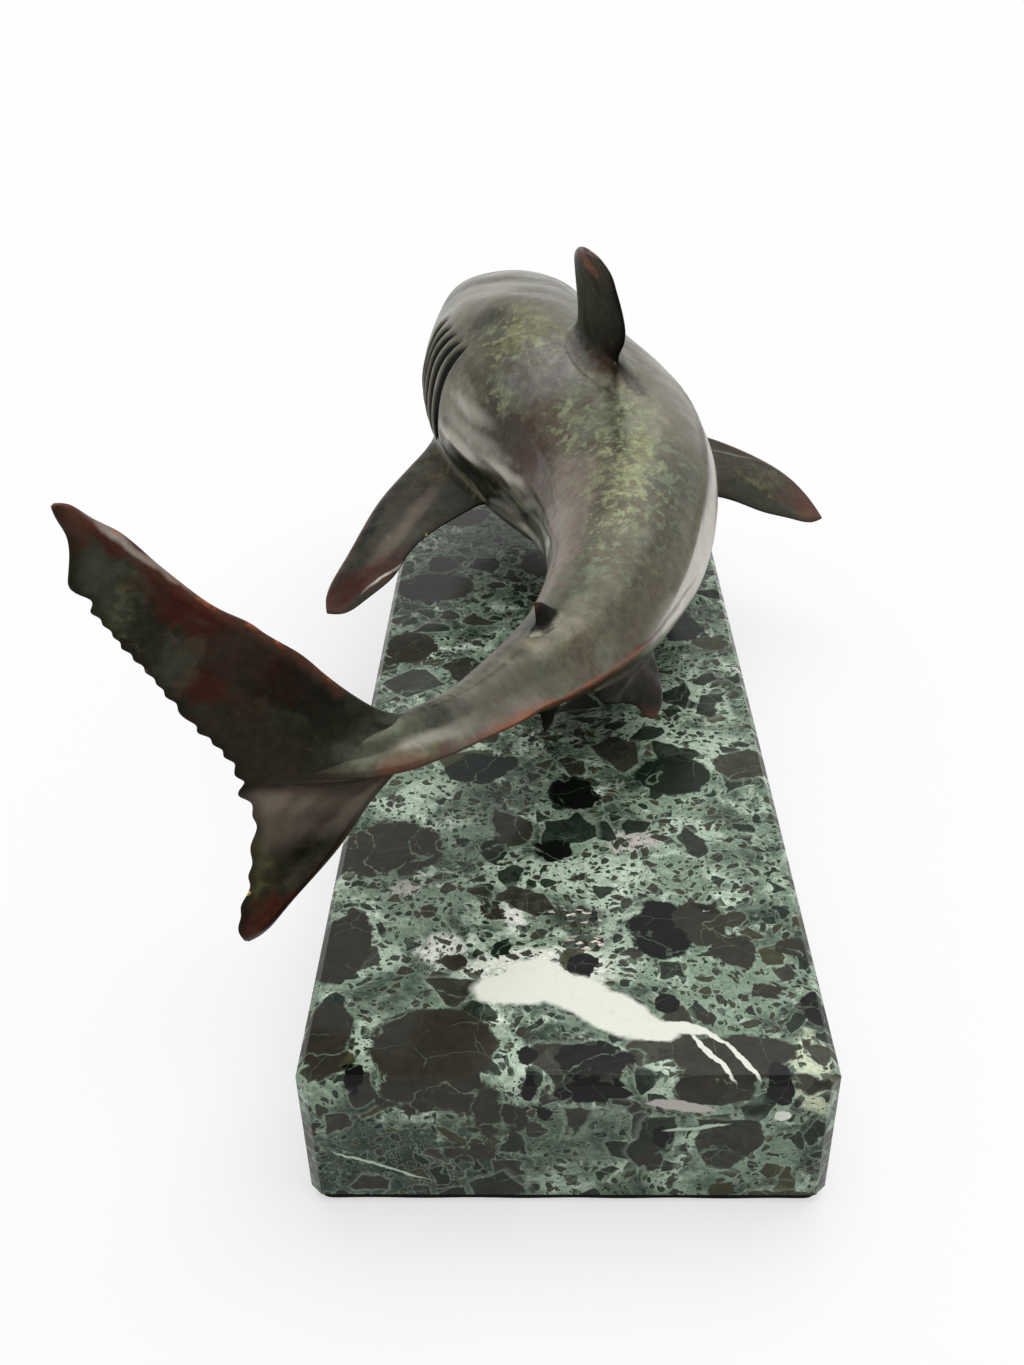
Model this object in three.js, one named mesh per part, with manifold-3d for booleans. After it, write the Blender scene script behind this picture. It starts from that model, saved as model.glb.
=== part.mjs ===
// A bronze shark, cast hollow in several pieces, carried over a bevelled marble slab.
// Millimetres, +Z up. The origin is the centre of the underside, the shark's head is towards +Y.
// The shark's own pieces are drawn in a group whose zero height is the top of the slab.

import * as THREE from 'three';
import { mergeVertices } from 'three/addons/utils/BufferGeometryUtils.js';
import Module from 'manifold-3d';

const wasm = await Module();
wasm.setup();

// Slab and felt
const BASE_LENGTH = 300;
const BASE_WIDTH = 100;
const MARBLE_THICKNESS = 33;
const BASE_BEVEL = 1.4;
const FELT_THICKNESS = 1.0;
const FELT_INSET = 1.0;

// Fasteners
const STUD_DIAMETER = 6;
const STUD_CLEARANCE = 0.4;
const STUD_THREAD_IN_BOSS = 10;
const STUD_BEYOND_NUT = 1.2;
const NUT_ACROSS_FLATS = 10;
const NUT_HEIGHT = 5;
const LOCK_WASHER_DIAMETER = 11;
const LOCK_WASHER_THICKNESS = 1.6;
const LOCK_WASHER_SPLIT = 1.2;
const FLAT_WASHER_DIAMETER = 18;
const FLAT_WASHER_THICKNESS = 1.6;
const COUNTERBORE_CLEARANCE = 2;
const COUNTERBORE_SPARE_DEPTH = 3.6;
const PIN_DIAMETER = 3;
const PIN_CLEARANCE = 0.2;
const PIN_IN_MARBLE = 7;
const PIN_IN_POST = 4;

// Clearance between neighbouring castings, and around their lugs
const FIT_GAP = 0.3;

// Bronze castings
const WALL = 4;
const POST_RADIUS = 8;
const POST_STATION = 0.44;
const BOSS_RADIUS = 8;
const BOSS_HEIGHT = 12;
const PLUG_RADIUS = 3;
const PLUG_PAST_WALL = 2;
const LUG_PAST_WALL = 1.5;
const SPIGOT_LENGTH = 12;
const SMALL_FIN_STATION = 0.775;
const TAIL_JOINT_DISTANCE = 22;
const CAVITY_START_STATION = 0.07;

// Centre line of the body from snout to tail: x, y, height over the slab
const SPINE = [
  [-18, 163, 46],
  [-14.5, 125, 51.5],
  [-6.5, 79.5, 46.5],
  [15, 42, 39.5],
  [18, 1.5, 34.5],
  [5.5, -38.5, 32],
  [-13, -70, 35],
  [-22.5, -93.5, 42],
  [-31.5, -110, 47.5],
];

// Sections of the body: share of the length, half width, height over and depth under the centre line
const SECTIONS = [
  [0, 11.5, 10, 9],
  [0.1, 22, 20.5, 17.5],
  [0.22, 30, 30, 28.5],
  [0.36, 32.5, 32.5, 33],
  [0.5, 26, 27, 30],
  [0.64, 18, 18, 21],
  [0.78, 10, 9, 12],
  [0.9, 5.5, 5.5, 6.5],
  [1, 3.6, 5, 5.2],
];
const SNOUT_LENGTH_SHARE = 0.085;

// Lean of the body's section towards its left, in degrees
const ROLL = [[0, -3], [0.3, -1.5], [0.6, 5], [1, 10]];

// Soft ridges along both sides: the tail's keel and the brow. Heights are by share of the length,
// the angle is where the ridge runs (0 is the side, 90 is the back) and the spread is its half width.
const RIDGES = [
  { angle: -17, spread: 16, heights: [[0, 0], [0.55, 0], [0.7, 1.3], [0.8, 3.3], [0.87, 4.5], [0.95, 4.7], [1, 4.5]] },
  { angle: 50, spread: 20, heights: [[0, 0], [0.08, 0.8], [0.17, 1.3], [0.26, 0.5], [0.36, 0], [1, 0]] },
];

// Fins. The station and angle give the place on the body's surface, direction the way the fin stands
// out (0 is to the shark's left, 90 is up). Outlines are pairs of distance out and distance back.
const PELVIC_LEAD = [[-4, -12], [0, -10.5], [7, -3.8], [10, 1], [11.5, 7], [11.3, 11]];
const PELVIC_TRAIL = [[-7, 19], [-3, 21], [2.5, 15], [7, 11.6], [10, 12], [11.3, 11]];
const SMALL_LEAD = [[-3, -6], [0, -4.2], [2.5, -1], [5, 2.6], [5.6, 4.5]];
const SMALL_TRAIL = [[-3, 5], [-0.8, 7.5], [0.6, 5.6], [3, 5.2], [5.6, 4.5]];
const FINS = {
  dorsal_fin: {
    station: 0.43, angle: 90, direction: 88, pitch: 0, half_thickness: 4, bend: 11, flare: 2.5,
    lead: [
      [-6, -30], [0, -22.5], [6, -20.5], [12, -19.3], [19, -17.3], [27, -13], [33.4, -5], [36.8, 3], [37.6, 12],
    ],
    trail: [
      [-6, 12], [-4, 12.5], [0, 6], [3, 3.5], [8, 6], [15, 10.3], [22, 12], [30, 14], [35, 15.5], [37.6, 12],
    ],
    lug: { width: 16, thickness: 3, back: -10 },
  },
  second_dorsal_fin: {
    station: SMALL_FIN_STATION, angle: 96, direction: 96, pitch: 0, half_thickness: 1.2, bend: 1, flare: 0.8,
    lead: SMALL_LEAD, trail: SMALL_TRAIL, lug: { width: 3, thickness: 1.2, back: 0 },
  },
  anal_fin: {
    station: SMALL_FIN_STATION, angle: 270, direction: 270, pitch: 0, half_thickness: 1.2, bend: 0, flare: 0.8,
    lead: SMALL_LEAD, trail: SMALL_TRAIL, lug: { width: 3, thickness: 1.2, back: 0 },
  },
  left_pectoral_fin: {
    station: 0.335, angle: -30, direction: -18, pitch: 0, half_thickness: 3.2, bend: 0, flare: 2,
    lead: [[-8, -31], [3.5, -25], [13.7, -20.5], [22, -16.4], [44.5, 0.9], [56.4, 12], [58.7, 17.2]],
    trail: [[-8, 9], [3, 8.4], [16, 8.6], [28, 11.7], [36, 17.1], [48, 20.4], [54.5, 20.7], [58.7, 17.2]],
    lug: { width: 18, thickness: 3, back: -9 },
  },
  right_pectoral_fin: {
    station: 0.37, angle: 210, direction: 176, pitch: 15, half_thickness: 3.2, bend: 0, flare: 2,
    lead: [[-8, -24], [12, -14], [28, -1.5], [33.3, 5.2], [38.1, 12.6], [41.4, 20], [42.4, 36], [41.5, 41.5]],
    trail: [[-8, 14], [8, 17], [19, 24.5], [25, 32], [31.5, 37.5], [37, 41.5], [41.5, 41.5]],
    lug: { width: 18, thickness: 3, back: -3 },
  },
  left_pelvic_fin: {
    station: 0.684, angle: 300, direction: 305, pitch: 0, half_thickness: 1.6, bend: -1.5, flare: 1,
    lead: PELVIC_LEAD, trail: PELVIC_TRAIL, lug: { width: 6, thickness: 1.6, back: -1 },
  },
  right_pelvic_fin: {
    station: 0.684, angle: 240, direction: 235, pitch: 0, half_thickness: 1.6, bend: 1.5, flare: 1,
    lead: PELVIC_LEAD, trail: PELVIC_TRAIL, lug: { width: 6, thickness: 1.6, back: -1 },
  },
};

// Sections of every fin: how much thinner the tip and the rear edge are, and the swell of the root
const FIN_LAST_SHARE = 0.985;
const FIN_SECTION_GATHERING = 1.5;
const FIN_TIP_THINNING = 0.45;
const FIN_REAR_THINNING = 0.35;
const FIN_ROOT_SWELL = 0.8;

// Tail fin, drawn in an upright plane through the end of the body: distance back, height
const TAIL_PLANE_ANGLE = 25;
const TAIL_HALF_THICKNESS = 1.3;
const TAIL_ROOT_HALF_THICKNESS = 4.4;
const TAIL_ROOT_REACH = 9;
const TAIL_LEAD = [
  [33.8, -37.4], [31.9, -37], [25.4, -32], [12.4, -20], [1.5, -8], [-3, 0],
  [1, 6.3], [12, 18.2], [25, 31.7], [38.5, 46.6], [46, 55.4], [49.6, 58.5], [52, 59],
];
const TAIL_TRAIL = [
  [33.8, -37.4], [34.6, -34.5], [32.6, -26.5], [30.2, -17.5], [28.8, -8.5], [29.8, -1],
  [32.1, 6], [37.3, 15.5], [43.5, 28], [49.4, 39.4], [51.3, 47], [51, 54.5], [52, 59],
];
const TAIL_MIDDLE_POINT = 5;
const TAIL_MIDDLE_SHARE = 0.45;
const TAIL_TIP_ROUNDNESS = 8;
const TAIL_REAR_THINNING = 0.6;
const TAIL_END_SHARE = 0.01;

// Gill slits, mouth and eyes, the same on both sides of the head
const GILL_STATIONS = [0.229, 0.243, 0.256, 0.27, 0.283];
const GILL_LOW_ANGLE = -32;
const GILL_HIGH_ANGLE = 38;
const GILL_BOW = 0.005;
const GILL_WIDTH = 1.2;
const GILL_DEPTH = 1.4;
const MOUTH_WIDTH = 2.4;
const MOUTH_DEPTH = 2.6;
const MOUTH_FRONT_STATION = 0.036;
const MOUTH_CORNER_STATION = 0.115;
const MOUTH_CORNER_ANGLE = -32;
const MOUTH_BOW_POWER = 1.8;
const EYE_STATION = 0.078;
const EYE_ANGLE = 24;
const EYE_RADIUS = 2.4;
const EYE_SUNK_SHARE = 0.55;

// Core plugs on the underside: station and angle on the body
const CORE_PLUGS = [[0.2, 250], [0.2, 290], [0.58, 250], [0.58, 290]];

// Facets
const BODY_RINGS = 34;
const BODY_SIDES = 28;
const RING_GATHERING = 1.35;
const FIRST_STATION = 0.0015;
const CAVITY_RINGS = 22;
const CAVITY_SIDES = 20;
const STALK_RINGS = 8;
const SPIGOT_RINGS = 5;
const FIN_RINGS = 13;
const TAIL_RINGS = 33;
const FIN_SIDES = 12;
const ROUND_SIDES = 24;
const SMALL_ROUND_SIDES = 12;
const GILL_STEPS = 9;
const MOUTH_STEPS = 17;

// How far a cutter runs past what it cuts, and the least half size of a shrunk section
const CUT_PAST = 1;
const LEAST_HALF_SIZE = 0.05;

const BRONZE = 0x54503f;
const STEEL = 0x9a9ca0;
const MARBLE = 0x53665a;
const FELT = 0x1d1f1d;

const BASE_TOP = FELT_THICKNESS + MARBLE_THICKNESS;
const degrees = THREE.MathUtils.degToRad;

// Natural cubic spline through rows of values at rising knots, as a function that gives a row
function spline(knots, rows) {
  const count = knots.length;
  const width = rows[0].length;
  const step = knots.slice(1).map((knot, i) => knot - knots[i]);
  const curvature = rows.map(() => new Array(width).fill(0));
  for (let k = 0; k < width; k++) {
    const upper = [0];
    const right = [0];
    for (let i = 1; i < count - 1; i++) {
      const after = (rows[i + 1][k] - rows[i][k]) / step[i];
      const before = (rows[i][k] - rows[i - 1][k]) / step[i - 1];
      const pivot = 2 * (step[i - 1] + step[i]) - step[i - 1] * upper[i - 1];
      upper[i] = step[i] / pivot;
      right[i] = (6 * (after - before) - step[i - 1] * right[i - 1]) / pivot;
    }
    for (let i = count - 2; i > 0; i--) {
      curvature[i][k] = right[i] - upper[i] * curvature[i + 1][k];
    }
  }
  return (t) => {
    let i = 0;
    while (i < count - 2 && t > knots[i + 1]) i++;
    const h = step[i];
    const a = (knots[i + 1] - t) / h;
    const b = 1 - a;
    return rows[i].map((value, k) => a * value + b * rows[i + 1][k]
      + ((a ** 3 - a) * curvature[i][k] + (b ** 3 - b) * curvature[i + 1][k]) * h * h / 6);
  };
}

// Spline through points, with the share of the chord length as its parameter
function curveThrough(points) {
  const lengths = [0];
  for (let i = 1; i < points.length; i++) {
    const side = points[i].map((value, k) => value - points[i - 1][k]);
    lengths.push(lengths[i - 1] + Math.hypot(...side));
  }
  const total = lengths[lengths.length - 1];
  const knots = lengths.map((length) => length / total);
  const curve = spline(knots, points);
  curve.knots = knots;
  return curve;
}

const tableSpline = (table) => spline(table.map((row) => row[0]), table.map((row) => row.slice(1)));

// The centre line by share of its own length
const SPINE_STEPS = 400;
const spineCurve = curveThrough(SPINE);
const spineLengths = [0];
for (let i = 1; i <= SPINE_STEPS; i++) {
  const from = new THREE.Vector3(...spineCurve((i - 1) / SPINE_STEPS));
  const to = new THREE.Vector3(...spineCurve(i / SPINE_STEPS));
  spineLengths.push(spineLengths[i - 1] + from.distanceTo(to));
}
const spineLength = spineLengths[SPINE_STEPS];

function spinePoint(t) {
  const wanted = THREE.MathUtils.clamp(t, 0, 1) * spineLength;
  let i = 1;
  while (i < SPINE_STEPS && spineLengths[i] < wanted) i++;
  const share = (wanted - spineLengths[i - 1]) / (spineLengths[i] - spineLengths[i - 1]);
  return new THREE.Vector3(...spineCurve((i - 1 + share) / SPINE_STEPS));
}

const sectionAt = tableSpline(SECTIONS);
const rollAt = tableSpline(ROLL);
const ridges = RIDGES.map(({ angle, spread, heights }) => (
  { middle: degrees(angle), spread: degrees(spread), heightAt: tableSpline(heights) }
));

// Directions towards the snout, to the shark's left and up its back, at a share of the length
function bodyFrame(t) {
  const reach = 0.002;
  const forward = spinePoint(t - reach).sub(spinePoint(t + reach)).normalize();
  const left = new THREE.Vector3(0, 0, 1).cross(forward).normalize();
  const up = forward.clone().cross(left);
  const roll = degrees(rollAt(t)[0]);
  return {
    forward,
    left: left.clone().multiplyScalar(Math.cos(roll)).addScaledVector(up, -Math.sin(roll)),
    up: up.clone().multiplyScalar(Math.cos(roll)).addScaledVector(left, Math.sin(roll)),
  };
}

// A round snout: the section grows as a circle's arc does over the first share of the length
function snoutFactor(t) {
  const s = THREE.MathUtils.clamp(t / SNOUT_LENGTH_SHARE, 0, 1);
  return Math.sqrt(1 - (1 - s) ** 2);
}

function wrap(angle) {
  return Math.atan2(Math.sin(angle), Math.cos(angle));
}

// Height of the ridges at a station and an angle: each is a bell curve across the angle
function ridgeHeight(t, angle) {
  let sum = 0;
  for (const { middle, spread, heightAt } of ridges) {
    const away = Math.min(Math.abs(wrap(angle - middle)), Math.abs(wrap(angle - Math.PI + middle)));
    sum += Math.max(heightAt(t)[0], 0) * Math.exp(-((away / spread) ** 2));
  }
  return sum;
}

// Point on the body at a station and an angle (0 is left, a quarter turn is up), moved out by offset
function bodyPoint(t, angle, offset = 0) {
  const [width, top, bottom] = sectionAt(t).map((value) => value * snoutFactor(t));
  const { left, up } = bodyFrame(t);
  const grown = ridgeHeight(t, angle) + offset;
  const side = Math.max(width + grown, LEAST_HALF_SIZE) * Math.cos(angle);
  const height = Math.max((Math.sin(angle) > 0 ? top : bottom) + grown, LEAST_HALF_SIZE) * Math.sin(angle);
  return spinePoint(t).addScaledVector(left, side).addScaledVector(up, height);
}

// Direction straight out of the body's surface
function outwardAt(t, angle) {
  return bodyPoint(t, angle, 1).sub(bodyPoint(t, angle, -1)).normalize();
}

// Closed solid through rings of points, fanned shut at both ends, as a manifold facing out
function loft(rings) {
  const sides = rings[0].length;
  const points = rings.flat();
  const triangles = [];
  for (let i = 0; i < rings.length - 1; i++) {
    for (let j = 0; j < sides; j++) {
      const k = (j + 1) % sides;
      const [a, b, c, d] = [i * sides + j, i * sides + k, (i + 1) * sides + k, (i + 1) * sides + j];
      triangles.push(a, b, c, a, c, d);
    }
  }
  const last = (rings.length - 1) * sides;
  for (const [start, flip] of [[0, true], [last, false]]) {
    const ring = points.slice(start, start + sides);
    const centre = ring.reduce((sum, p) => sum.add(p), new THREE.Vector3()).divideScalar(sides);
    points.push(centre);
    for (let j = 0; j < sides; j++) {
      const [a, b] = [start + j, start + (j + 1) % sides];
      triangles.push(...(flip ? [b, a, points.length - 1] : [a, b, points.length - 1]));
    }
  }
  const geometry = new THREE.BufferGeometry();
  geometry.setAttribute('position', new THREE.Float32BufferAttribute(points.flatMap((p) => p.toArray()), 3));
  geometry.setIndex(triangles);
  return toManifold(geometry);
}

function signedVolume(positions, indices) {
  const [a, b, c] = [new THREE.Vector3(), new THREE.Vector3(), new THREE.Vector3()];
  let sum = 0;
  for (let i = 0; i < indices.length; i += 3) {
    a.fromArray(positions, indices[i] * 3);
    b.fromArray(positions, indices[i + 1] * 3);
    c.fromArray(positions, indices[i + 2] * 3);
    sum += a.dot(b.cross(c)) / 6;
  }
  return sum;
}

function toManifold(source, matrix = new THREE.Matrix4()) {
  let geometry = source.clone();
  geometry.deleteAttribute('normal');
  geometry.deleteAttribute('uv');
  geometry = mergeVertices(geometry.applyMatrix4(matrix), 1e-4);
  const positions = geometry.attributes.position.array;
  const indices = Uint32Array.from(geometry.index.array);
  if (signedVolume(positions, indices) < 0) indices.reverse();
  return new wasm.Manifold(new wasm.Mesh({ numProp: 3, vertProperties: positions, triVerts: indices }));
}

function toGeometry(solid) {
  const mesh = solid.getMesh();
  const geometry = new THREE.BufferGeometry();
  geometry.setAttribute('position', new THREE.Float32BufferAttribute(mesh.vertProperties, 3));
  geometry.setIndex([...mesh.triVerts]);
  geometry.computeVertexNormals();
  return geometry;
}

// The largest separate body of a solid, without the slivers that a cut along a curve can leave
function mainBody(solid) {
  return solid.decompose().reduce((best, part) => (part.volume() > best.volume() ? part : best));
}

function add(group, name, geometry, color, roughness, metalness) {
  const material = new THREE.MeshStandardMaterial({ color, roughness, metalness });
  const mesh = new THREE.Mesh(geometry, material);
  mesh.name = name;
  group.add(mesh);
  return mesh;
}

const addBronze = (group, name, solid) => add(group, name, toGeometry(solid), BRONZE, 0.35, 0.9);
const addSteel = (group, name, solid) => add(group, name, toGeometry(solid), STEEL, 0.4, 1);

// Upright cylinder between two heights, as a manifold
function upright(radius, low, high, x = 0, y = 0, sides = ROUND_SIDES) {
  const geometry = new THREE.CylinderGeometry(radius, radius, high - low, sides);
  const matrix = new THREE.Matrix4().makeTranslation(x, y, (low + high) / 2);
  return toManifold(geometry, matrix.multiply(new THREE.Matrix4().makeRotationX(Math.PI / 2)));
}

// Matrix that carries x, y and z to three directions at a place
function placed(x, y, z, origin) {
  return new THREE.Matrix4().makeBasis(x, y, z).setPosition(origin);
}

// Body-shaped loft between two stations, grown or shrunk by an offset, with its rings gathered
// towards the start where the gathering is over 1
function bodyLoft(start, end, offset, rings, sides, gathering = 1) {
  const list = [];
  for (let i = 0; i < rings; i++) {
    const t = start + (end - start) * (i / (rings - 1)) ** gathering;
    const ring = [];
    for (let j = 0; j < sides; j++) ring.push(bodyPoint(t, (j / sides) * 2 * Math.PI, offset));
    list.push(ring);
  }
  return loft(list);
}

// Cutter for a groove along a line on the body's surface: rows of station and angle
function grooveCutter(line, width, depth) {
  const centre = line.map(([t, angle]) => bodyPoint(t, angle));
  const rings = line.map(([t, angle], i) => {
    const ahead = centre[Math.min(i + 1, centre.length - 1)];
    const behind = centre[Math.max(i - 1, 0)];
    const along = ahead.clone().sub(behind).normalize();
    const outwards = outwardAt(t, angle);
    const across = along.clone().cross(outwards).normalize();
    const corners = [[-1, CUT_PAST], [1, CUT_PAST], [1, -depth], [-1, -depth]];
    return corners.map(([side, out]) => centre[i].clone()
      .addScaledVector(across, side * width / 2).addScaledVector(outwards, out));
  });
  return loft(rings);
}

// The frame of a fin: its root point and its directions out, back and across
function finFrame(fin) {
  const { forward, left, up } = bodyFrame(fin.station);
  const root = bodyPoint(fin.station, degrees(fin.angle));
  const pitch = degrees(fin.pitch);
  const back = forward.clone().multiplyScalar(-Math.cos(pitch)).addScaledVector(up, -Math.sin(pitch));
  const direction = degrees(fin.direction);
  const out = left.clone().multiplyScalar(Math.cos(direction)).addScaledVector(up, Math.sin(direction));
  out.addScaledVector(back, -out.dot(back)).normalize();
  const across = back.clone().cross(out);
  return { root, out, back, across };
}

// Fin: sections run from the leading to the trailing edge, thin out to the tip and bend sideways
function finLoft(fin) {
  const { root, out, back, across } = finFrame(fin);
  const lead = curveThrough(fin.lead);
  const trail = curveThrough(fin.trail);
  const reach = Math.max(...fin.lead.map((row) => row[0]));
  const rings = [];
  for (let i = 0; i < FIN_RINGS; i++) {
    const u = FIN_LAST_SHARE * (1 - (1 - i / (FIN_RINGS - 1)) ** FIN_SECTION_GATHERING);
    const [front, rear] = [lead(u), trail(u)];
    const ring = [];
    for (let j = 0; j < FIN_SIDES; j++) {
      const turn = (j / FIN_SIDES) * 2 * Math.PI;
      const chord = (1 - Math.cos(turn)) / 2;
      const distance = front[0] + (rear[0] - front[0]) * chord;
      const behind = front[1] + (rear[1] - front[1]) * chord;
      const taper = Math.sqrt(1 - u * u) * (1 - FIN_TIP_THINNING * u) * (1 - FIN_REAR_THINNING * chord);
      const swell = 1 + FIN_ROOT_SWELL * Math.exp(-Math.max(distance, 0) / fin.flare);
      const half = fin.half_thickness * taper * swell * Math.sin(turn);
      const aside = half + fin.bend * THREE.MathUtils.clamp(distance / reach, 0, 1) ** 2;
      ring.push(root.clone().addScaledVector(out, distance).addScaledVector(back, behind)
        .addScaledVector(across, aside));
    }
    rings.push(ring);
  }
  return loft(rings);
}

// Square lug that sets a fin into its socket through the wall
function finLug(fin, gap) {
  const { root, out, back, across } = finFrame(fin);
  const depth = WALL + LUG_PAST_WALL;
  const height = fin.half_thickness;
  const size = [fin.lug.width, fin.lug.thickness, depth + height].map((value) => value + 2 * gap);
  const centre = root.clone().addScaledVector(back, fin.lug.back)
    .addScaledVector(out, (height - depth) / 2);
  return toManifold(new THREE.BoxGeometry(...size), placed(back, across, out, centre));
}

// Tail fin: two lobes drawn from the lower tip, through the end of the body, to the upper tip
function tailFinLoft() {
  const angle = degrees(TAIL_PLANE_ANGLE);
  const back = new THREE.Vector3(-Math.cos(angle), -Math.sin(angle), 0);
  const up = new THREE.Vector3(0, 0, 1);
  const across = back.clone().cross(up);
  const root = spinePoint(1);
  const lead = curveThrough(TAIL_LEAD);
  const trail = curveThrough(TAIL_TRAIL);
  const rings = [];
  for (let i = 0; i < TAIL_RINGS; i++) {
    const u = TAIL_END_SHARE + (1 - 2 * TAIL_END_SHARE) * (i / (TAIL_RINGS - 1));
    const along = (curve) => {
      const knot = curve.knots[TAIL_MIDDLE_POINT];
      const upper = (u - TAIL_MIDDLE_SHARE) / (1 - TAIL_MIDDLE_SHARE);
      return curve(u < TAIL_MIDDLE_SHARE ? (u / TAIL_MIDDLE_SHARE) * knot : knot + upper * (1 - knot));
    };
    const [front, rear] = [along(lead), along(trail)];
    const ring = [];
    for (let j = 0; j < FIN_SIDES; j++) {
      const turn = (j / FIN_SIDES) * 2 * Math.PI;
      const chord = (1 - Math.cos(turn)) / 2;
      const behind = front[0] + (rear[0] - front[0]) * chord;
      const height = front[1] + (rear[1] - front[1]) * chord;
      const atRoot = Math.exp(-((height / TAIL_ROOT_REACH) ** 2));
      const full = TAIL_HALF_THICKNESS + (TAIL_ROOT_HALF_THICKNESS - TAIL_HALF_THICKNESS) * atRoot;
      const taper = Math.sqrt(1 - (2 * u - 1) ** TAIL_TIP_ROUNDNESS) * (1 - TAIL_REAR_THINNING * chord);
      const half = full * taper * Math.sin(turn);
      ring.push(root.clone().addScaledVector(back, behind).addScaledVector(up, height)
        .addScaledVector(across, half));
    }
    rings.push(ring);
  }
  return loft(rings);
}

// Plug through the body's wall at a station and an angle, or with a gap the cutter for its hole
function plugCylinder(station, angle, gap) {
  const radius = PLUG_RADIUS + gap;
  const geometry = new THREE.CylinderGeometry(radius, radius, WALL + 2 * PLUG_PAST_WALL, SMALL_ROUND_SIDES);
  const turn = new THREE.Quaternion().setFromUnitVectors(new THREE.Vector3(0, 1, 0), outwardAt(station, angle));
  const centre = bodyPoint(station, angle, -WALL / 2);
  return toManifold(geometry, new THREE.Matrix4().compose(centre, turn, new THREE.Vector3(1, 1, 1)));
}

// Cutter for one gill slit: it runs up the side of the head, bowed towards the tail
function gillCutter(station, mirrored) {
  const line = [];
  for (let i = 0; i < GILL_STEPS; i++) {
    const share = i / (GILL_STEPS - 1);
    const angle = degrees(GILL_LOW_ANGLE + (GILL_HIGH_ANGLE - GILL_LOW_ANGLE) * share);
    line.push([station + GILL_BOW * Math.sin(share * Math.PI), mirrored ? Math.PI - angle : angle]);
  }
  return grooveCutter(line, GILL_WIDTH, GILL_DEPTH);
}

// Cutter for the mouth: an arch under the snout from one corner to the other
function mouthCutter() {
  const line = [];
  for (let i = 0; i < MOUTH_STEPS; i++) {
    const side = (2 * i) / (MOUTH_STEPS - 1) - 1;
    const share = Math.abs(side) ** MOUTH_BOW_POWER;
    const station = MOUTH_FRONT_STATION + (MOUTH_CORNER_STATION - MOUTH_FRONT_STATION) * share;
    line.push([station, degrees(270 + side * (90 + MOUTH_CORNER_ANGLE))]);
  }
  return grooveCutter(line, MOUTH_WIDTH, MOUTH_DEPTH);
}

function eyeBall(angle) {
  const centre = bodyPoint(EYE_STATION, degrees(angle), -EYE_RADIUS * EYE_SUNK_SHARE);
  const ball = new THREE.SphereGeometry(EYE_RADIUS, SMALL_ROUND_SIDES, SMALL_ROUND_SIDES / 2);
  return toManifold(ball, new THREE.Matrix4().setPosition(centre));
}

// Slab with every edge bevelled, its top at zero height
function bevelledSlab(length, width, thickness, bevel) {
  const x = width / 2 - bevel;
  const y = length / 2 - bevel;
  const corners = [
    [x, -y + bevel], [x, y - bevel], [x - bevel, y], [-x + bevel, y],
    [-x, y - bevel], [-x, -y + bevel], [-x + bevel, -y], [x - bevel, -y],
  ];
  const shape = new THREE.Shape(corners.map((pair) => new THREE.Vector2(...pair)));
  const geometry = new THREE.ExtrudeGeometry(shape, {
    depth: thickness - 2 * bevel,
    bevelEnabled: true,
    bevelSize: bevel,
    bevelThickness: bevel,
    bevelSegments: 1,
  });
  geometry.translate(0, 0, bevel - thickness);
  return toManifold(geometry);
}

const model = new THREE.Group();
const shark = new THREE.Group();
shark.position.z = BASE_TOP;
model.add(shark);

// The stud's axis, where the post stands, and the heights along it
const axis = spinePoint(POST_STATION);
const belly = bodyPoint(POST_STATION, degrees(270)).z;
const studRadius = STUD_DIAMETER / 2;
const studHole = studRadius + STUD_CLEARANCE;
const studTop = belly + WALL + STUD_THREAD_IN_BOSS;
const bossTop = belly + WALL + BOSS_HEIGHT;
const nutStack = FLAT_WASHER_THICKNESS + LOCK_WASHER_THICKNESS + NUT_HEIGHT;
const counterboreTop = nutStack + STUD_BEYOND_NUT + COUNTERBORE_SPARE_DEPTH - MARBLE_THICKNESS;
const counterboreRadius = FLAT_WASHER_DIAMETER / 2 + COUNTERBORE_CLEARANCE;
const flatWasherLow = counterboreTop - FLAT_WASHER_THICKNESS;
const lockWasherLow = flatWasherLow - LOCK_WASHER_THICKNESS;
const nutLow = lockWasherLow - NUT_HEIGHT;

// The locating pin stands midway between the stud's hole and the post's outside
const pinRadius = PIN_DIAMETER / 2;
const pinHole = pinRadius + PIN_CLEARANCE;
const pinY = axis.y - (studHole + POST_RADIUS) / 2;
const onAxis = (radius, low, high, sides) => upright(radius, low, high, axis.x, axis.y, sides);
const onPin = (radius, low, high) => upright(radius, low, high, axis.x, pinY, SMALL_ROUND_SIDES);

// Marble slab with its stud hole, counterbore and pin hole
const marbleLow = -MARBLE_THICKNESS - CUT_PAST;
const marble = bevelledSlab(BASE_LENGTH, BASE_WIDTH, MARBLE_THICKNESS, BASE_BEVEL)
  .subtract(onAxis(studHole, marbleLow, CUT_PAST))
  .subtract(onAxis(counterboreRadius, marbleLow, counterboreTop))
  .subtract(onPin(pinHole, -PIN_IN_MARBLE - FIT_GAP, CUT_PAST));
add(shark, 'marble_base', toGeometry(marble), MARBLE, 0.12, 0);

// Felt pad, glued flat under the slab
const feltLength = BASE_LENGTH - 2 * FELT_INSET;
const feltWidth = BASE_WIDTH - 2 * FELT_INSET;
const felt = add(model, 'felt_pad', new THREE.BoxGeometry(feltWidth, feltLength, FELT_THICKNESS), FELT, 1, 0);
felt.position.z = FELT_THICKNESS / 2;

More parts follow.
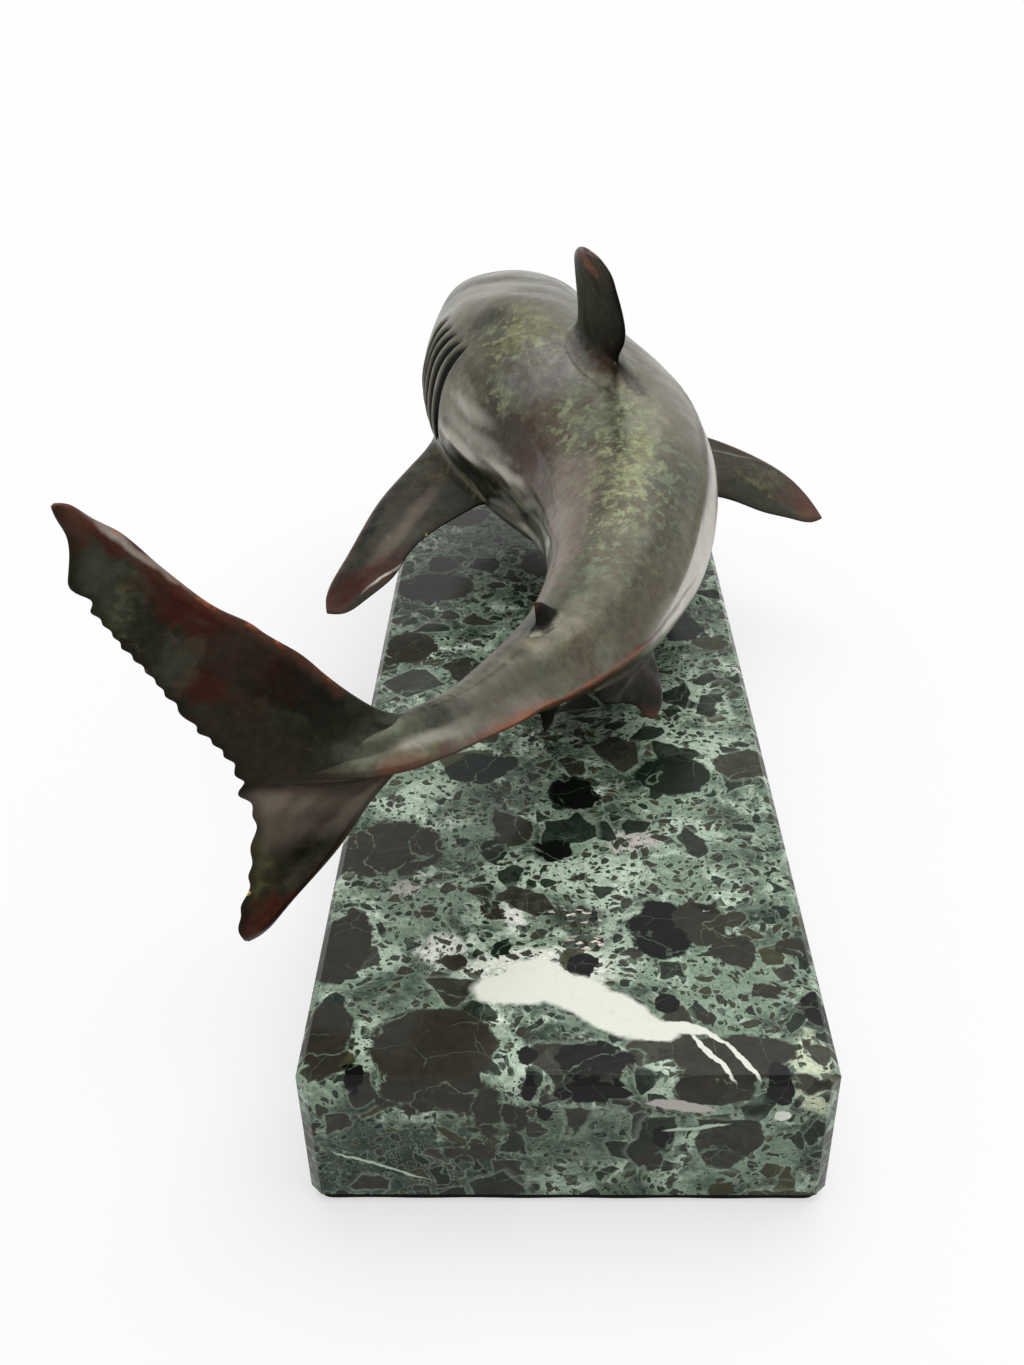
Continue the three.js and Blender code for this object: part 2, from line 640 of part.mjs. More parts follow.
// Solids of the whole body: its outside, the core cavity and both of them with the fitting gap
const gapShare = FIT_GAP / spineLength;
const wallShare = WALL / spineLength;
const joint = SMALL_FIN_STATION + TAIL_JOINT_DISTANCE / spineLength;
const outer = bodyLoft(FIRST_STATION, joint, 0, BODY_RINGS, BODY_SIDES, RING_GATHERING);
const outerGrown = bodyLoft(
  FIRST_STATION, joint + wallShare, FIT_GAP, BODY_RINGS, BODY_SIDES, RING_GATHERING,
);
const cavity = bodyLoft(CAVITY_START_STATION, joint + wallShare, -WALL, CAVITY_RINGS, CAVITY_SIDES);
const cavityShrunk = bodyLoft(CAVITY_START_STATION, joint, -WALL - FIT_GAP, CAVITY_RINGS, CAVITY_SIDES);

// Body casting with its gills, mouth and eyes
let bodySolid = outer.subtract(cavity).subtract(mouthCutter());
for (const station of GILL_STATIONS) {
  for (const mirrored of [false, true]) bodySolid = bodySolid.subtract(gillCutter(station, mirrored));
}
for (const angle of [EYE_ANGLE, 180 - EYE_ANGLE]) bodySolid = bodySolid.add(eyeBall(angle));

// Fins: each is cut by the body and set on a lug in a socket through the wall
for (const [name, fin] of Object.entries(FINS)) {
  bodySolid = bodySolid.subtract(finLug(fin, FIT_GAP));
  addBronze(shark, name, mainBody(finLoft(fin).subtract(outerGrown).add(finLug(fin, 0))));
}

// Core plugs, filed flush with the body's outside
CORE_PLUGS.forEach(([station, angle], i) => {
  bodySolid = bodySolid.subtract(plugCylinder(station, degrees(angle), FIT_GAP));
  addBronze(shark, `core_plug_${i + 1}`, mainBody(plugCylinder(station, degrees(angle), 0).intersect(outer)));
});

// The stud's hole in the belly, and the boss that it screws into
bodySolid = bodySolid.subtract(onAxis(studHole, 0, studTop));
addBronze(shark, 'body_casting', mainBody(bodySolid));
const boss = onAxis(BOSS_RADIUS, belly, bossTop)
  .intersect(cavityShrunk)
  .subtract(onAxis(studHole, 0, studTop + CUT_PAST));
addBronze(shark, 'belly_boss', mainBody(boss));

// Post between the slab and the belly, and the pin that stops it turning
const postTop = belly + POST_RADIUS;
const post = onAxis(POST_RADIUS, 0, postTop)
  .subtract(outerGrown)
  .subtract(onAxis(studHole, -CUT_PAST, postTop + CUT_PAST))
  .subtract(onPin(pinHole, -CUT_PAST, PIN_IN_POST + FIT_GAP));
addBronze(shark, 'support_post', mainBody(post));
addSteel(shark, 'locating_pin', onPin(pinRadius, -PIN_IN_MARBLE, PIN_IN_POST));

// Stud, washers and nut under the counterbore's floor
const ring = (diameter, low, high, sides) => onAxis(diameter / 2, low, high, sides)
  .subtract(onAxis(studHole, low - CUT_PAST, high + CUT_PAST));
const splitHeight = LOCK_WASHER_THICKNESS + 2 * CUT_PAST;
const split = new THREE.BoxGeometry(LOCK_WASHER_DIAMETER, LOCK_WASHER_SPLIT, splitHeight);
split.translate(axis.x + LOCK_WASHER_DIAMETER / 2, axis.y, lockWasherLow + LOCK_WASHER_THICKNESS / 2);
const NUT_SIDES = 6;
const nutDiameter = NUT_ACROSS_FLATS / Math.cos(Math.PI / NUT_SIDES);
addSteel(shark, 'flat_washer', ring(FLAT_WASHER_DIAMETER, flatWasherLow, counterboreTop));
const lockWasher = ring(LOCK_WASHER_DIAMETER, lockWasherLow, flatWasherLow).subtract(toManifold(split));
addSteel(shark, 'lock_washer', lockWasher);
addSteel(shark, 'hex_nut', ring(nutDiameter, nutLow, lockWasherLow, NUT_SIDES));
addSteel(shark, 'threaded_stud', onAxis(studRadius, nutLow - STUD_BEYOND_NUT, studTop));

// Tail: the stalk beyond the joint, the fin, and a spigot that fits the body's open end
const stalk = bodyLoft(joint + gapShare, 1, 0, STALK_RINGS, BODY_SIDES);
const spigotStart = joint - SPIGOT_LENGTH / spineLength;
const spigot = bodyLoft(spigotStart, joint + wallShare, -WALL - FIT_GAP, SPIGOT_RINGS, CAVITY_SIDES);
addBronze(shark, 'tail_casting', mainBody(stalk.add(tailFinLoft()).add(spigot)));

export default model;
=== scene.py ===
# A cast bronze shark over a polished slab of green breccia marble: its looks, built round the frame.
# Shapes are worked out in millimetres, with zero height at the foot of the felt, and put into the
# meshes in metres. The shark's head is towards +Y and its left side towards -X.
import math

import bpy
import numpy as np
from mathutils import Matrix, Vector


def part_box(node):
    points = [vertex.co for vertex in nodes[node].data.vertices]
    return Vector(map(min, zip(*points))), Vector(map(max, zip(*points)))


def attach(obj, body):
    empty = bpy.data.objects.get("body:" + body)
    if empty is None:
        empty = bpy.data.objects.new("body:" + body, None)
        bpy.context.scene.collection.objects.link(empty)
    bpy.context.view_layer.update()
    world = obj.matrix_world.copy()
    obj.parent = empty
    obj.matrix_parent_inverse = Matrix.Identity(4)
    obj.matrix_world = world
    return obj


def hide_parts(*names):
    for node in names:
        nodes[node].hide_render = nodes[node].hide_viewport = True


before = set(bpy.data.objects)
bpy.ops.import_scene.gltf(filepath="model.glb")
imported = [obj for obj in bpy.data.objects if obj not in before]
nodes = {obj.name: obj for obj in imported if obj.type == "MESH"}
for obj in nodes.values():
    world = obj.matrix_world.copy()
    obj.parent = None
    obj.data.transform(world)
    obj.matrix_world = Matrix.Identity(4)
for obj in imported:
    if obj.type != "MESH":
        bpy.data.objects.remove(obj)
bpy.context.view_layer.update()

METRES = 0.001
slab_low, slab_high = (np.array(corner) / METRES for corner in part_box("marble_base"))
post_low, post_high = (np.array(corner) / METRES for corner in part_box("support_post"))
SLAB_TOP = slab_high[2]
UP = np.array([0.0, 0.0, 1.0])

# Centre line of the body from snout to tail: x, y, height over the slab
SPINE = [
    (-18, 163, 46), (-14.5, 125, 51.5), (-6.5, 79.5, 46.5), (15, 42, 39.5), (18, 1.5, 34.5),
    (5.5, -38.5, 32), (-13, -70, 35), (-22.5, -93.5, 42), (-31.5, -110, 47.5),
]
# Sections of the body: share of the length, half width, height over and depth under the centre line
SECTIONS = [
    (0, 11.5, 10, 9), (0.1, 22, 20.5, 17.5), (0.22, 30, 30, 28.5), (0.36, 32.5, 32.5, 33),
    (0.5, 26, 27, 30), (0.64, 18, 18, 21), (0.78, 10, 9, 12), (0.9, 5.5, 5.5, 6.5), (1, 3.6, 5, 5.2),
]
SNOUT_LENGTH_SHARE = 0.085
ROLL = [(0, -3), (0.3, -1.5), (0.6, 5), (1, 10)]
SMALL_FIN_STATION = 0.775
TAIL_JOINT_DISTANCE = 22
# Ridges along both sides: angle, spread, and height by share of the length
RIDGES = [
    (-17, 16, [(0, 0), (0.55, 0), (0.7, 1.3), (0.8, 3.3), (0.87, 4.5), (0.95, 4.7), (1, 4.5)]),
    (50, 20, [(0, 0), (0.08, 0.8), (0.17, 1.3), (0.26, 0.5), (0.36, 0), (1, 0)]),
]
LEAST_HALF_SIZE = 0.05
# Steps in which a density of rings is summed, and in which the nearest station is first looked for
INTEGRAL_STEPS = 4000
NEAREST_STEPS = 240


def spline(knots, rows):
    """Natural cubic spline: one cubic between each two knots, with equal slope and curvature where
    they meet and none at the ends. Returns a function of an array, which gives an array of rows."""
    knots = np.asarray(knots, float)
    rows = np.asarray(rows, float).reshape(len(knots), -1)
    step = np.diff(knots)
    matrix = np.eye(len(knots))
    right = np.zeros_like(rows)
    for i in range(1, len(knots) - 1):
        matrix[i, i - 1:i + 2] = step[i - 1], 2 * (step[i - 1] + step[i]), step[i]
        right[i] = 6 * ((rows[i + 1] - rows[i]) / step[i] - (rows[i] - rows[i - 1]) / step[i - 1])
    curvature = np.linalg.solve(matrix, right)

    def at(t):
        t = np.asarray(t, float)
        i = np.clip(np.searchsorted(knots, t) - 1, 0, len(knots) - 2)
        wide = step[i][..., None]
        a = (knots[i + 1] - t)[..., None] / wide
        b = 1 - a
        bend = ((a ** 3 - a) * curvature[i] + (b ** 3 - b) * curvature[i + 1]) * wide ** 2 / 6
        return a * rows[i] + b * rows[i + 1] + bend

    return at


def curve_through(points):
    """Spline through points by share of the chord length, and the shares of the points."""
    points = np.asarray(points, float)
    lengths = np.append(0, np.cumsum(np.linalg.norm(np.diff(points, axis=0), axis=1)))
    shares = lengths / lengths[-1]
    return spline(shares, points), shares


def table_spline(table):
    """Spline through the rows of a table, by the first number of each."""
    return spline([row[0] for row in table], [row[1:] for row in table])


def unit(vectors):
    """Vectors made one long, by dividing them by their length."""
    return vectors / np.linalg.norm(vectors, axis=-1, keepdims=True)


def smoothstep(value, low, high):
    """0 up to low, 1 from high, and 3s^2 - 2s^3 of the share s between them."""
    share = np.clip((value - low) / (high - low), 0, 1)
    return share * share * (3 - 2 * share)


def bell(value, spread):
    """exp(-(value / spread)^2)."""
    return np.exp(-(value / spread) ** 2)


def gathered(start, end, count, places):
    """Count values from start to end, closer where there is more to draw: the density is 1 plus a
    bell of a given gain at each place, and each step takes an equal share of its integral."""
    x = np.linspace(start, end, INTEGRAL_STEPS)
    density = 1 + sum(gain * bell(x - middle, spread) for middle, spread, gain in places)
    total = np.append(0, np.cumsum((density[1:] + density[:-1]) / 2))
    return np.interp(np.linspace(0, total[-1], count), total, x)


# The centre line by share of its own length
SPINE_STEPS = 400
spine_curve, _ = curve_through(SPINE)
spine_shares = np.linspace(0, 1, SPINE_STEPS + 1)
spine_steps = np.linalg.norm(np.diff(spine_curve(spine_shares), axis=0), axis=1)
spine_lengths = np.append(0, np.cumsum(spine_steps))
SPINE_LENGTH = spine_lengths[-1]
section_at = table_spline(SECTIONS)
roll_at = table_spline(ROLL)
ridges = [
    (np.radians(angle), np.radians(spread), table_spline(heights)) for angle, spread, heights in RIDGES
]
JOINT = SMALL_FIN_STATION + TAIL_JOINT_DISTANCE / SPINE_LENGTH


def spine_point(t):
    """Points of the centre line by share of its length, set over the slab's top."""
    share = np.interp(np.clip(t, 0, 1) * SPINE_LENGTH, spine_lengths, spine_shares)
    return spine_curve(share) + SLAB_TOP * UP


def body_frame(t):
    """Directions towards the snout, to the shark's left and up its back, leaned by the roll."""
    reach = 0.002
    forward = unit(spine_point(np.subtract(t, reach)) - spine_point(np.add(t, reach)))
    left = unit(np.cross(UP, forward))
    up = np.cross(forward, left)
    roll = np.radians(roll_at(t))
    return forward, left * np.cos(roll) - up * np.sin(roll), up * np.cos(roll) + left * np.sin(roll)


def turned_away(angle, middle):
    """How far an angle is from another one or from its mirror image across the back."""
    near = np.abs(np.arctan2(np.sin(angle - middle), np.cos(angle - middle)))
    far = np.abs(np.arctan2(np.sin(angle - np.pi + middle), np.cos(angle - np.pi + middle)))
    return np.minimum(near, far)


def ridge_height(t, angle):
    """Height of the ridges: the sum of their heights at a station, each times a bell of the angle
    from its middle, on either side of the body."""
    return sum(
        np.maximum(height_at(t)[..., 0], 0) * bell(turned_away(angle, middle), spread)
        for middle, spread, height_at in ridges
    )


def body_point(t, angle, offset=0.0):
    """Point on the body. Its section is a half ellipse over and one under the centre line, grown by
    the ridges and the offset; over the snout it shrinks as sqrt(1 - (1 - s)^2), a circle's arc."""
    t, angle = np.broadcast_arrays(np.asarray(t, float), np.asarray(angle, float))
    s = np.clip(t / SNOUT_LENGTH_SHARE, 0, 1)
    half = section_at(t) * np.sqrt(1 - (1 - s) ** 2)[..., None]
    _, left, up = body_frame(t)
    grown = ridge_height(t, angle) + offset
    tall = np.where(np.sin(angle) > 0, half[..., 1], half[..., 2])
    side = np.maximum(half[..., 0] + grown, LEAST_HALF_SIZE) * np.cos(angle)
    height = np.maximum(tall + grown, LEAST_HALF_SIZE) * np.sin(angle)
    return spine_point(t) + left * side[..., None] + up * height[..., None]


def outward_at(t, angle):
    """Direction out of the body: from it drawn in by a millimetre to it grown by one."""
    return unit(body_point(t, angle, 1.0) - body_point(t, angle, -1.0))


def height_over_body(points):
    """Distance of points from the body's surface, below zero inside it, and the direction away from
    the centre line: the station is where the point lies square to the centre line, and the surface
    is met along the same section angle."""
    stations = np.linspace(0, 1, NEAREST_STEPS)
    line = spine_point(stations)
    flat = points.reshape(-1, 3)
    t = stations[((flat[:, None] - line[None]) ** 2).sum(-1).argmin(1)]
    for _ in range(2):
        forward, left, up = body_frame(t)
        away = flat - spine_point(t)
        t = np.clip(t - (away * forward).sum(-1) / SPINE_LENGTH, 0, 1)
    side = (away * left).sum(-1)
    height = (away * up).sum(-1)
    half = section_at(t)
    tall = np.where(height > 0, half[:, 1], half[:, 2])
    angle = np.arctan2(height / tall, side / half[:, 0])
    surface = body_point(t, angle)
    reach = np.linalg.norm(away, axis=-1) - np.linalg.norm(surface - spine_point(t), axis=-1)
    return reach.reshape(points.shape[:-1]), unit(away).reshape(points.shape)


# Meshes


def signed_volume(points, faces):
    """Volume inside triangles, a . (b x c) / 6 summed over them: above zero where they face out."""
    a, b, c = (points[faces[:, k]] for k in range(3))
    return np.einsum("ij,ij->i", a, np.cross(b, c)).sum() / 6


def shell(rings):
    """Points, quads and triangles of a closed shell: quads between rings of points that close on
    themselves, and a fan round the middle of the first and of the last ring, all facing out."""
    count, sides = rings.shape[:2]
    points = np.vstack([rings.reshape(-1, 3), rings[[0, -1]].mean(1)])
    i, j = np.meshgrid(np.arange(count - 1), np.arange(sides), indexing="ij")
    k = (j + 1) % sides
    quads = np.stack([i * sides + j, i * sides + k, (i + 1) * sides + k, (i + 1) * sides + j], -1)
    quads = quads.reshape(-1, 4)
    around = np.arange(sides)
    after = (around + 1) % sides
    last = (count - 1) * sides
    middles = count * sides
    first_fan = np.stack([after, around, np.full(sides, middles)], -1)
    last_fan = np.stack([last + around, last + after, np.full(sides, middles + 1)], -1)
    fans = np.vstack([first_fan, last_fan])
    corners = np.vstack([quads[:, [0, 1, 2]], quads[:, [0, 2, 3]], fans])
    if signed_volume(points, corners) < 0:
        quads = quads[:, ::-1]
        fans = fans[:, ::-1]
    return points, quads, fans


def shell_values(values):
    """Values of a shell's points from those of its rings."""
    return np.append(values.ravel(), values[[0, -1]].mean(1))


def mesh_piece(name, points, quads, triangles, attributes=(), smooth=True):
    """Object at the origin from points in millimetres, with a value for each point in each of its
    attributes."""
    mesh = bpy.data.meshes.new(name)
    mesh.vertices.add(len(points))
    mesh.vertices.foreach_set("co", (points * METRES).astype(np.float32).ravel())
    mesh.loops.add(quads.size + triangles.size)
    mesh.loops.foreach_set("vertex_index", np.append(quads.ravel(), triangles.ravel()).astype(np.int32))
    starts = np.append(np.arange(len(quads)) * 4, quads.size + np.arange(len(triangles)) * 3)
    mesh.polygons.add(len(starts))
    mesh.polygons.foreach_set("loop_start", starts.astype(np.int32))
    mesh.polygons.foreach_set("use_smooth", np.full(len(starts), smooth))
    mesh.update(calc_edges=True)
    for label, values in dict(attributes).items():
        mesh.attributes.new(label, "FLOAT", "POINT").data.foreach_set("value", values.astype(np.float32))
    mesh.validate()
    piece = bpy.data.objects.new(name, mesh)
    bpy.context.scene.collection.objects.link(piece)
    return piece


def loft_piece(name, rings, attributes=(), smooth=True):
    """Piece of one shell."""
    levels = {label: shell_values(values) for label, values in dict(attributes).items()}
    return mesh_piece(name, *shell(rings), levels, smooth)


# Relief of the body: gills, mouth, eyes, nostrils, plugs and the hand of the modeller

GILL_STATIONS = [0.229, 0.243, 0.256, 0.27, 0.283]
GILL_LOW_ANGLE = -32
GILL_HIGH_ANGLE = 38
GILL_BOW = 0.005
GILL_HOOK = 0.009
GILL_HOOK_START = 0.72
GILL_HOOK_CURVE = 9
GILL_HALF_WIDTH = 0.75
GILL_DEPTH = 1.9
GILL_PLATE_RISE = 1.2
GILL_PLATE_POWER = 1.6
GILL_SHADE = 1.6
GILL_FADE_IN = (-0.06, 0.08)
GILL_FADE_OUT = (0.9, 1.12)
MOUTH_FRONT_STATION = 0.036
MOUTH_CORNER_STATION = 0.115
MOUTH_CORNER_ANGLE = -32
MOUTH_BOW_POWER = 1.8
MOUTH_HALF_SPAN = 18
MOUTH_HALF_WIDTH = 1.05
MOUTH_DEPTH = 2.3
MOUTH_FARTHEST = 1.3
MOUTH_FADE = (0.96, 1.1)
LIP_DISTANCE = 2.3
LIP_HALF_WIDTH = 1.1
LIP_RISE = 0.55
JAW_DISTANCE = 6.5
JAW_HALF_WIDTH = 3.6
JAW_SIDE_SHARE = 0.75
JAW_RISE = 0.5
EYE_STATION = 0.078
EYE_ANGLE = 24
EYE_RADIUS = 2.4
EYE_SUNK_SHARE = 0.55
EYE_DOME_SHARE = 0.85
EYE_RING_SHARE = 0.94
EYE_RING_HALF_WIDTH = 0.32
EYE_RING_DEPTH = 0.5
EYE_RING_SHADE = 0.6
EYE_LID_SHARE = 1.35
EYE_LID_HALF_WIDTH = 0.75
EYE_LID_RISE = 0.55
NOSTRIL_STATION = 0.024
NOSTRIL_ANGLE = -38
NOSTRIL_HALF_TURN = 8
NOSTRIL_SLANT = 0.006
NOSTRIL_HALF_WIDTH = 0.75
NOSTRIL_DEPTH = 0.8
CORE_PLUGS = [(0.2, 250), (0.2, 290), (0.58, 250), (0.58, 290)]
PLUG_RADIUS = 3
PLUG_RING_HALF_WIDTH = 0.22
PLUG_RING_DEPTH = 0.12
PLUG_RING_SHADE = 0.25


def gill_relief(t, side_angle):
    """Five overlapping plates: each rises towards the tail and ends at a narrow groove, bowed back
    in the middle and hooked back at its top. Gives the height and how deep in a groove a point is."""
    share = (side_angle - GILL_LOW_ANGLE) / (GILL_HIGH_ANGLE - GILL_LOW_ANGLE)
    inside = smoothstep(share, *GILL_FADE_IN) * (1 - smoothstep(share, *GILL_FADE_OUT))
    bow = GILL_BOW * np.sin(np.clip(share, 0, 1) * np.pi)
    bow = bow + GILL_HOOK * np.clip(share - GILL_HOOK_START, 0, 0.5) ** 2 * GILL_HOOK_CURVE
    height = np.zeros_like(share)
    groove = np.zeros_like(share)
    spacing = GILL_STATIONS[1] - GILL_STATIONS[0]
    for station in GILL_STATIONS:
        past = t - station - bow
        cut = bell(past * SPINE_LENGTH, GILL_HALF_WIDTH)
        plate = np.clip(1 + past / spacing, 0, 1) * (past < 0)
        height += GILL_PLATE_RISE * plate ** GILL_PLATE_POWER * (1 - cut) - GILL_DEPTH * cut
        groove += GILL_SHADE * cut
    return height * inside, np.clip(groove * inside, 0, 1)


def mouth_relief(t, angle):
    """An arch under the snout: a groove along a line whose station grows with the angle from the
    middle to a power, with a rounded lip on both sides and the jaw's swell behind its middle. The
    line's slope makes a distance along the body one that is square to the line."""
    side = (np.degrees(angle) % 360 - 270) / (90 + MOUTH_CORNER_ANGLE)
    run = MOUTH_CORNER_STATION - MOUTH_FRONT_STATION
    line = MOUTH_FRONT_STATION + run * np.clip(np.abs(side), 0, MOUTH_FARTHEST) ** MOUTH_BOW_POWER
    slope = run * MOUTH_BOW_POWER * np.abs(side) ** (MOUTH_BOW_POWER - 1) * SPINE_LENGTH
    across = (t - line) * SPINE_LENGTH / np.sqrt(1 + (slope / MOUTH_HALF_SPAN) ** 2)
    inside = 1 - smoothstep(np.abs(side), *MOUTH_FADE)
    cut = bell(across, MOUTH_HALF_WIDTH)
    lips = bell(np.abs(across) - LIP_DISTANCE, LIP_HALF_WIDTH)
    jaw = bell(across - JAW_DISTANCE, JAW_HALF_WIDTH) * bell(side, JAW_SIDE_SHARE)
    height = (LIP_RISE * lips - MOUTH_DEPTH * cut) * inside + JAW_RISE * jaw
    return height, cut * inside


def spot_distance(points, station, angle_degrees):
    """Straight distance of points from a spot of the body."""
    return np.linalg.norm(points - body_point(station, np.radians(angle_degrees)), axis=-1)


def eye_relief(points):
    """A domed eyeball, sqrt(r^2 - d^2) less what is sunk, in a ring groove under a soft lid."""
    height = np.zeros(points.shape[:-1])
    groove = np.zeros_like(height)
    for angle in (EYE_ANGLE, 180 - EYE_ANGLE):
        away = spot_distance(points, EYE_STATION, angle)
        dome = np.sqrt(np.clip(EYE_RADIUS ** 2 - away ** 2, 0, None)) - EYE_RADIUS * EYE_SUNK_SHARE
        ring = bell(away - EYE_RADIUS * EYE_RING_SHARE, EYE_RING_HALF_WIDTH)
        lid = bell(away - EYE_RADIUS * EYE_LID_SHARE, EYE_LID_HALF_WIDTH)
        height += np.where(away < EYE_RADIUS * EYE_DOME_SHARE, np.maximum(dome, 0), 0)
        height += EYE_LID_RISE * lid - EYE_RING_DEPTH * ring
        groove += ring
    return height, groove


def nostril_relief(points):
    """Two short slots in front of the mouth: a bell across a straight line on each side."""
    hollow = np.zeros(points.shape[:-1])
    for mirrored in (False, True):
        ends = []
        for step, half_turn in enumerate((-NOSTRIL_HALF_TURN, NOSTRIL_HALF_TURN)):
            angle = NOSTRIL_ANGLE + half_turn
            turn = np.radians(180 - angle if mirrored else angle)
            ends.append(body_point(NOSTRIL_STATION + step * NOSTRIL_SLANT, turn))
        along = ends[1] - ends[0]
        share = np.clip(((points - ends[0]) @ along) / (along @ along), 0, 1)
        away = np.linalg.norm(points - ends[0] - share[..., None] * along, axis=-1)
        hollow += bell(away, NOSTRIL_HALF_WIDTH)
    return hollow


def plug_relief(points):
    """The fine ring left round each core plug after filing: a bell across a circle."""
    from_rings = (spot_distance(points, *plug) - PLUG_RADIUS for plug in CORE_PLUGS)
    return sum(bell(distance, PLUG_RING_HALF_WIDTH) for distance in from_rings)


# Swells and creases of the skin: points (station, angle), half width, height
FOLDS = [
    ([(0.223, 29), (0.236, 42), (0.252, 65), (0.282, 84), (0.311, 101)], 4.5, 0.8),
    ([(0.265, 38), (0.285, 55), (0.314, 70), (0.344, 83)], 5.0, -0.9),
    ([(0.18, 41), (0.203, 66), (0.22, 95), (0.228, 116)], 4.5, -0.65),
    ([(0.298, 1), (0.321, -3), (0.344, -5), (0.369, -6)], 2.0, 0.85),
    ([(0.315, 24), (0.34, 18), (0.359, 13)], 1.8, 0.7),
    ([(0.345, 3), (0.408, 3), (0.451, -4), (0.475, -12)], 2.0, 0.9),
    ([(0.31, -10), (0.357, -14), (0.405, -12), (0.47, -12)], 2.8, -1.0),
    ([(0.42, 35), (0.482, 34), (0.535, 36), (0.59, 38)], 1.5, 0.5),
    ([(0.36, -25), (0.429, -25), (0.5, -25), (0.58, -2)], 2.4, 1.0),
    ([(0.5, -3), (0.55, 3), (0.63, 24)], 1.5, -1.1),
    ([(0.48, 12), (0.55, 17), (0.63, 36)], 2.4, 0.6),
    ([(0.41, 134), (0.456, 144), (0.504, 147.5), (0.562, 154.5), (0.626, 167.5), (0.681, 181), (0.73, 200)],
     1.4, 1.0),
    ([(0.43, 150), (0.504, 160), (0.562, 168), (0.626, 182), (0.68, 198)], 4.5, -1.0),
]
FOLD_STEPS = 40
FOLD_FADE_POWER = 0.7
# How many degrees count as much as the whole length where a line is drawn, and how far past a
# line's ends its rings are looked for
FOLD_LENGTH_DEGREES = 100
FOLD_REACH = 0.05


def fold_relief(t, points):
    """Long shallow creases and swells: a bell across each line, faded out towards its ends. Each
    line is set only against the rings of the body, given by their stations, that it comes near."""
    height = np.zeros(points.shape[:-1])
    for places, half_width, rise in FOLDS:
        curve, _ = curve_through([(station * FOLD_LENGTH_DEGREES, angle) for station, angle in places])
        stations, angles = curve(np.linspace(0, 1, FOLD_STEPS)).T
        stations = stations / FOLD_LENGTH_DEGREES
        line = body_point(stations, np.radians(angles))
        first, last = np.searchsorted(t, [stations.min() - FOLD_REACH, stations.max() + FOLD_REACH])
        rings = slice(first, last)
        away = np.full(height[rings].shape, np.inf)
        nearest = np.zeros(away.shape, int)
        for i, place in enumerate(line):
            distance = np.linalg.norm(points[rings] - place, axis=-1)
            nearest = np.where(distance < away, i, nearest)
            away = np.minimum(away, distance)
        fade = np.sin(np.pi * (nearest + 0.5) / len(line)) ** FOLD_FADE_POWER
        offset = points[rings] - line[nearest]
        beside = (offset * unit(np.gradient(line, axis=0))[nearest]).sum(-1)
        step = np.linalg.norm(line[1:] - line[:-1], axis=1).max()
        away = np.sqrt(np.maximum(away ** 2 - np.clip(beside, -step, step) ** 2, 0))
        height[rings] += rise * fade * bell(away, half_width)
    return height


def hand_relief(points, size=1.0):
    """The hand of the modeller: a sum of slow waves in three directions, about a fifth of a
    millimetre high."""
    x, y, z = np.moveaxis(points / size, -1, 0)
    waves = (
        0.11 * np.sin(x / 5.3 + y / 9.1 + 1.1 * np.sin(z / 7.7))
        + 0.09 * np.sin(y / 4.9 - z / 6.3 + 1.3 * np.sin(x / 8.3))
        + 0.06 * np.sin(z / 3.1 + x / 3.7 - y / 11.0)
    )
    return waves * size


def surface_normals(points):
    """Unit normals of a grid that closes on itself around each ring, from its central differences."""
    along = np.gradient(points, axis=0)
    around = np.roll(points, -1, 1) - np.roll(points, 1, 1)
    return unit(np.cross(around, along))


BODY_RINGS = 420
BODY_SIDES = 224
FIRST_STATION = 0.0012
PAST_JOINT = 0.012
JOINT_STEP = 0.004
UNDER_NEIGHBOUR = 0.6
HAND_START = 0.03
# Where the body's rings (by station) and its sides (by angle) lie closer: middle, spread, gain
RING_GATHERING = [
    (0.078, 0.012, 5.0), (0.258, 0.036, 3.6), (0.04, 0.03, 3.0), (0.0, 0.012, 5.0), (0.105, 0.02, 1.5),
]
SIDE_GATHERING = [(EYE_ANGLE, 9, 1.6), (180 - EYE_ANGLE, 9, 1.6), (214, 14, 0.6), (326, 14, 0.6)]


def body_relief(t, angle, points):
    """All of the body's relief along its normals, in millimetres, and how deep in a groove it is."""
    side_angle = np.degrees(angle)
    side_angle = np.where(np.cos(angle) < 0, 180 - side_angle, side_angle)
    side_angle = (side_angle + 180) % 360 - 180
    gills, gill_groove = gill_relief(t, side_angle)
    mouth, mouth_groove = mouth_relief(t, angle)
    eyes, eye_groove = eye_relief(points)
    nostrils = nostril_relief(points)
    plugs = plug_relief(points)
    calm = 1 - np.clip(eye_groove + mouth_groove, 0, 1)
    height = gills + mouth + eyes - NOSTRIL_DEPTH * nostrils - PLUG_RING_DEPTH * plugs
    hand = hand_relief(points) * calm * smoothstep(t, 0, HAND_START)
    height = height + fold_relief(t[:, 0], points) + hand
    groove = gill_groove + mouth_groove + EYE_RING_SHADE * eye_groove + nostrils + PLUG_RING_SHADE * plugs
    return height, np.clip(groove, 0, 1)


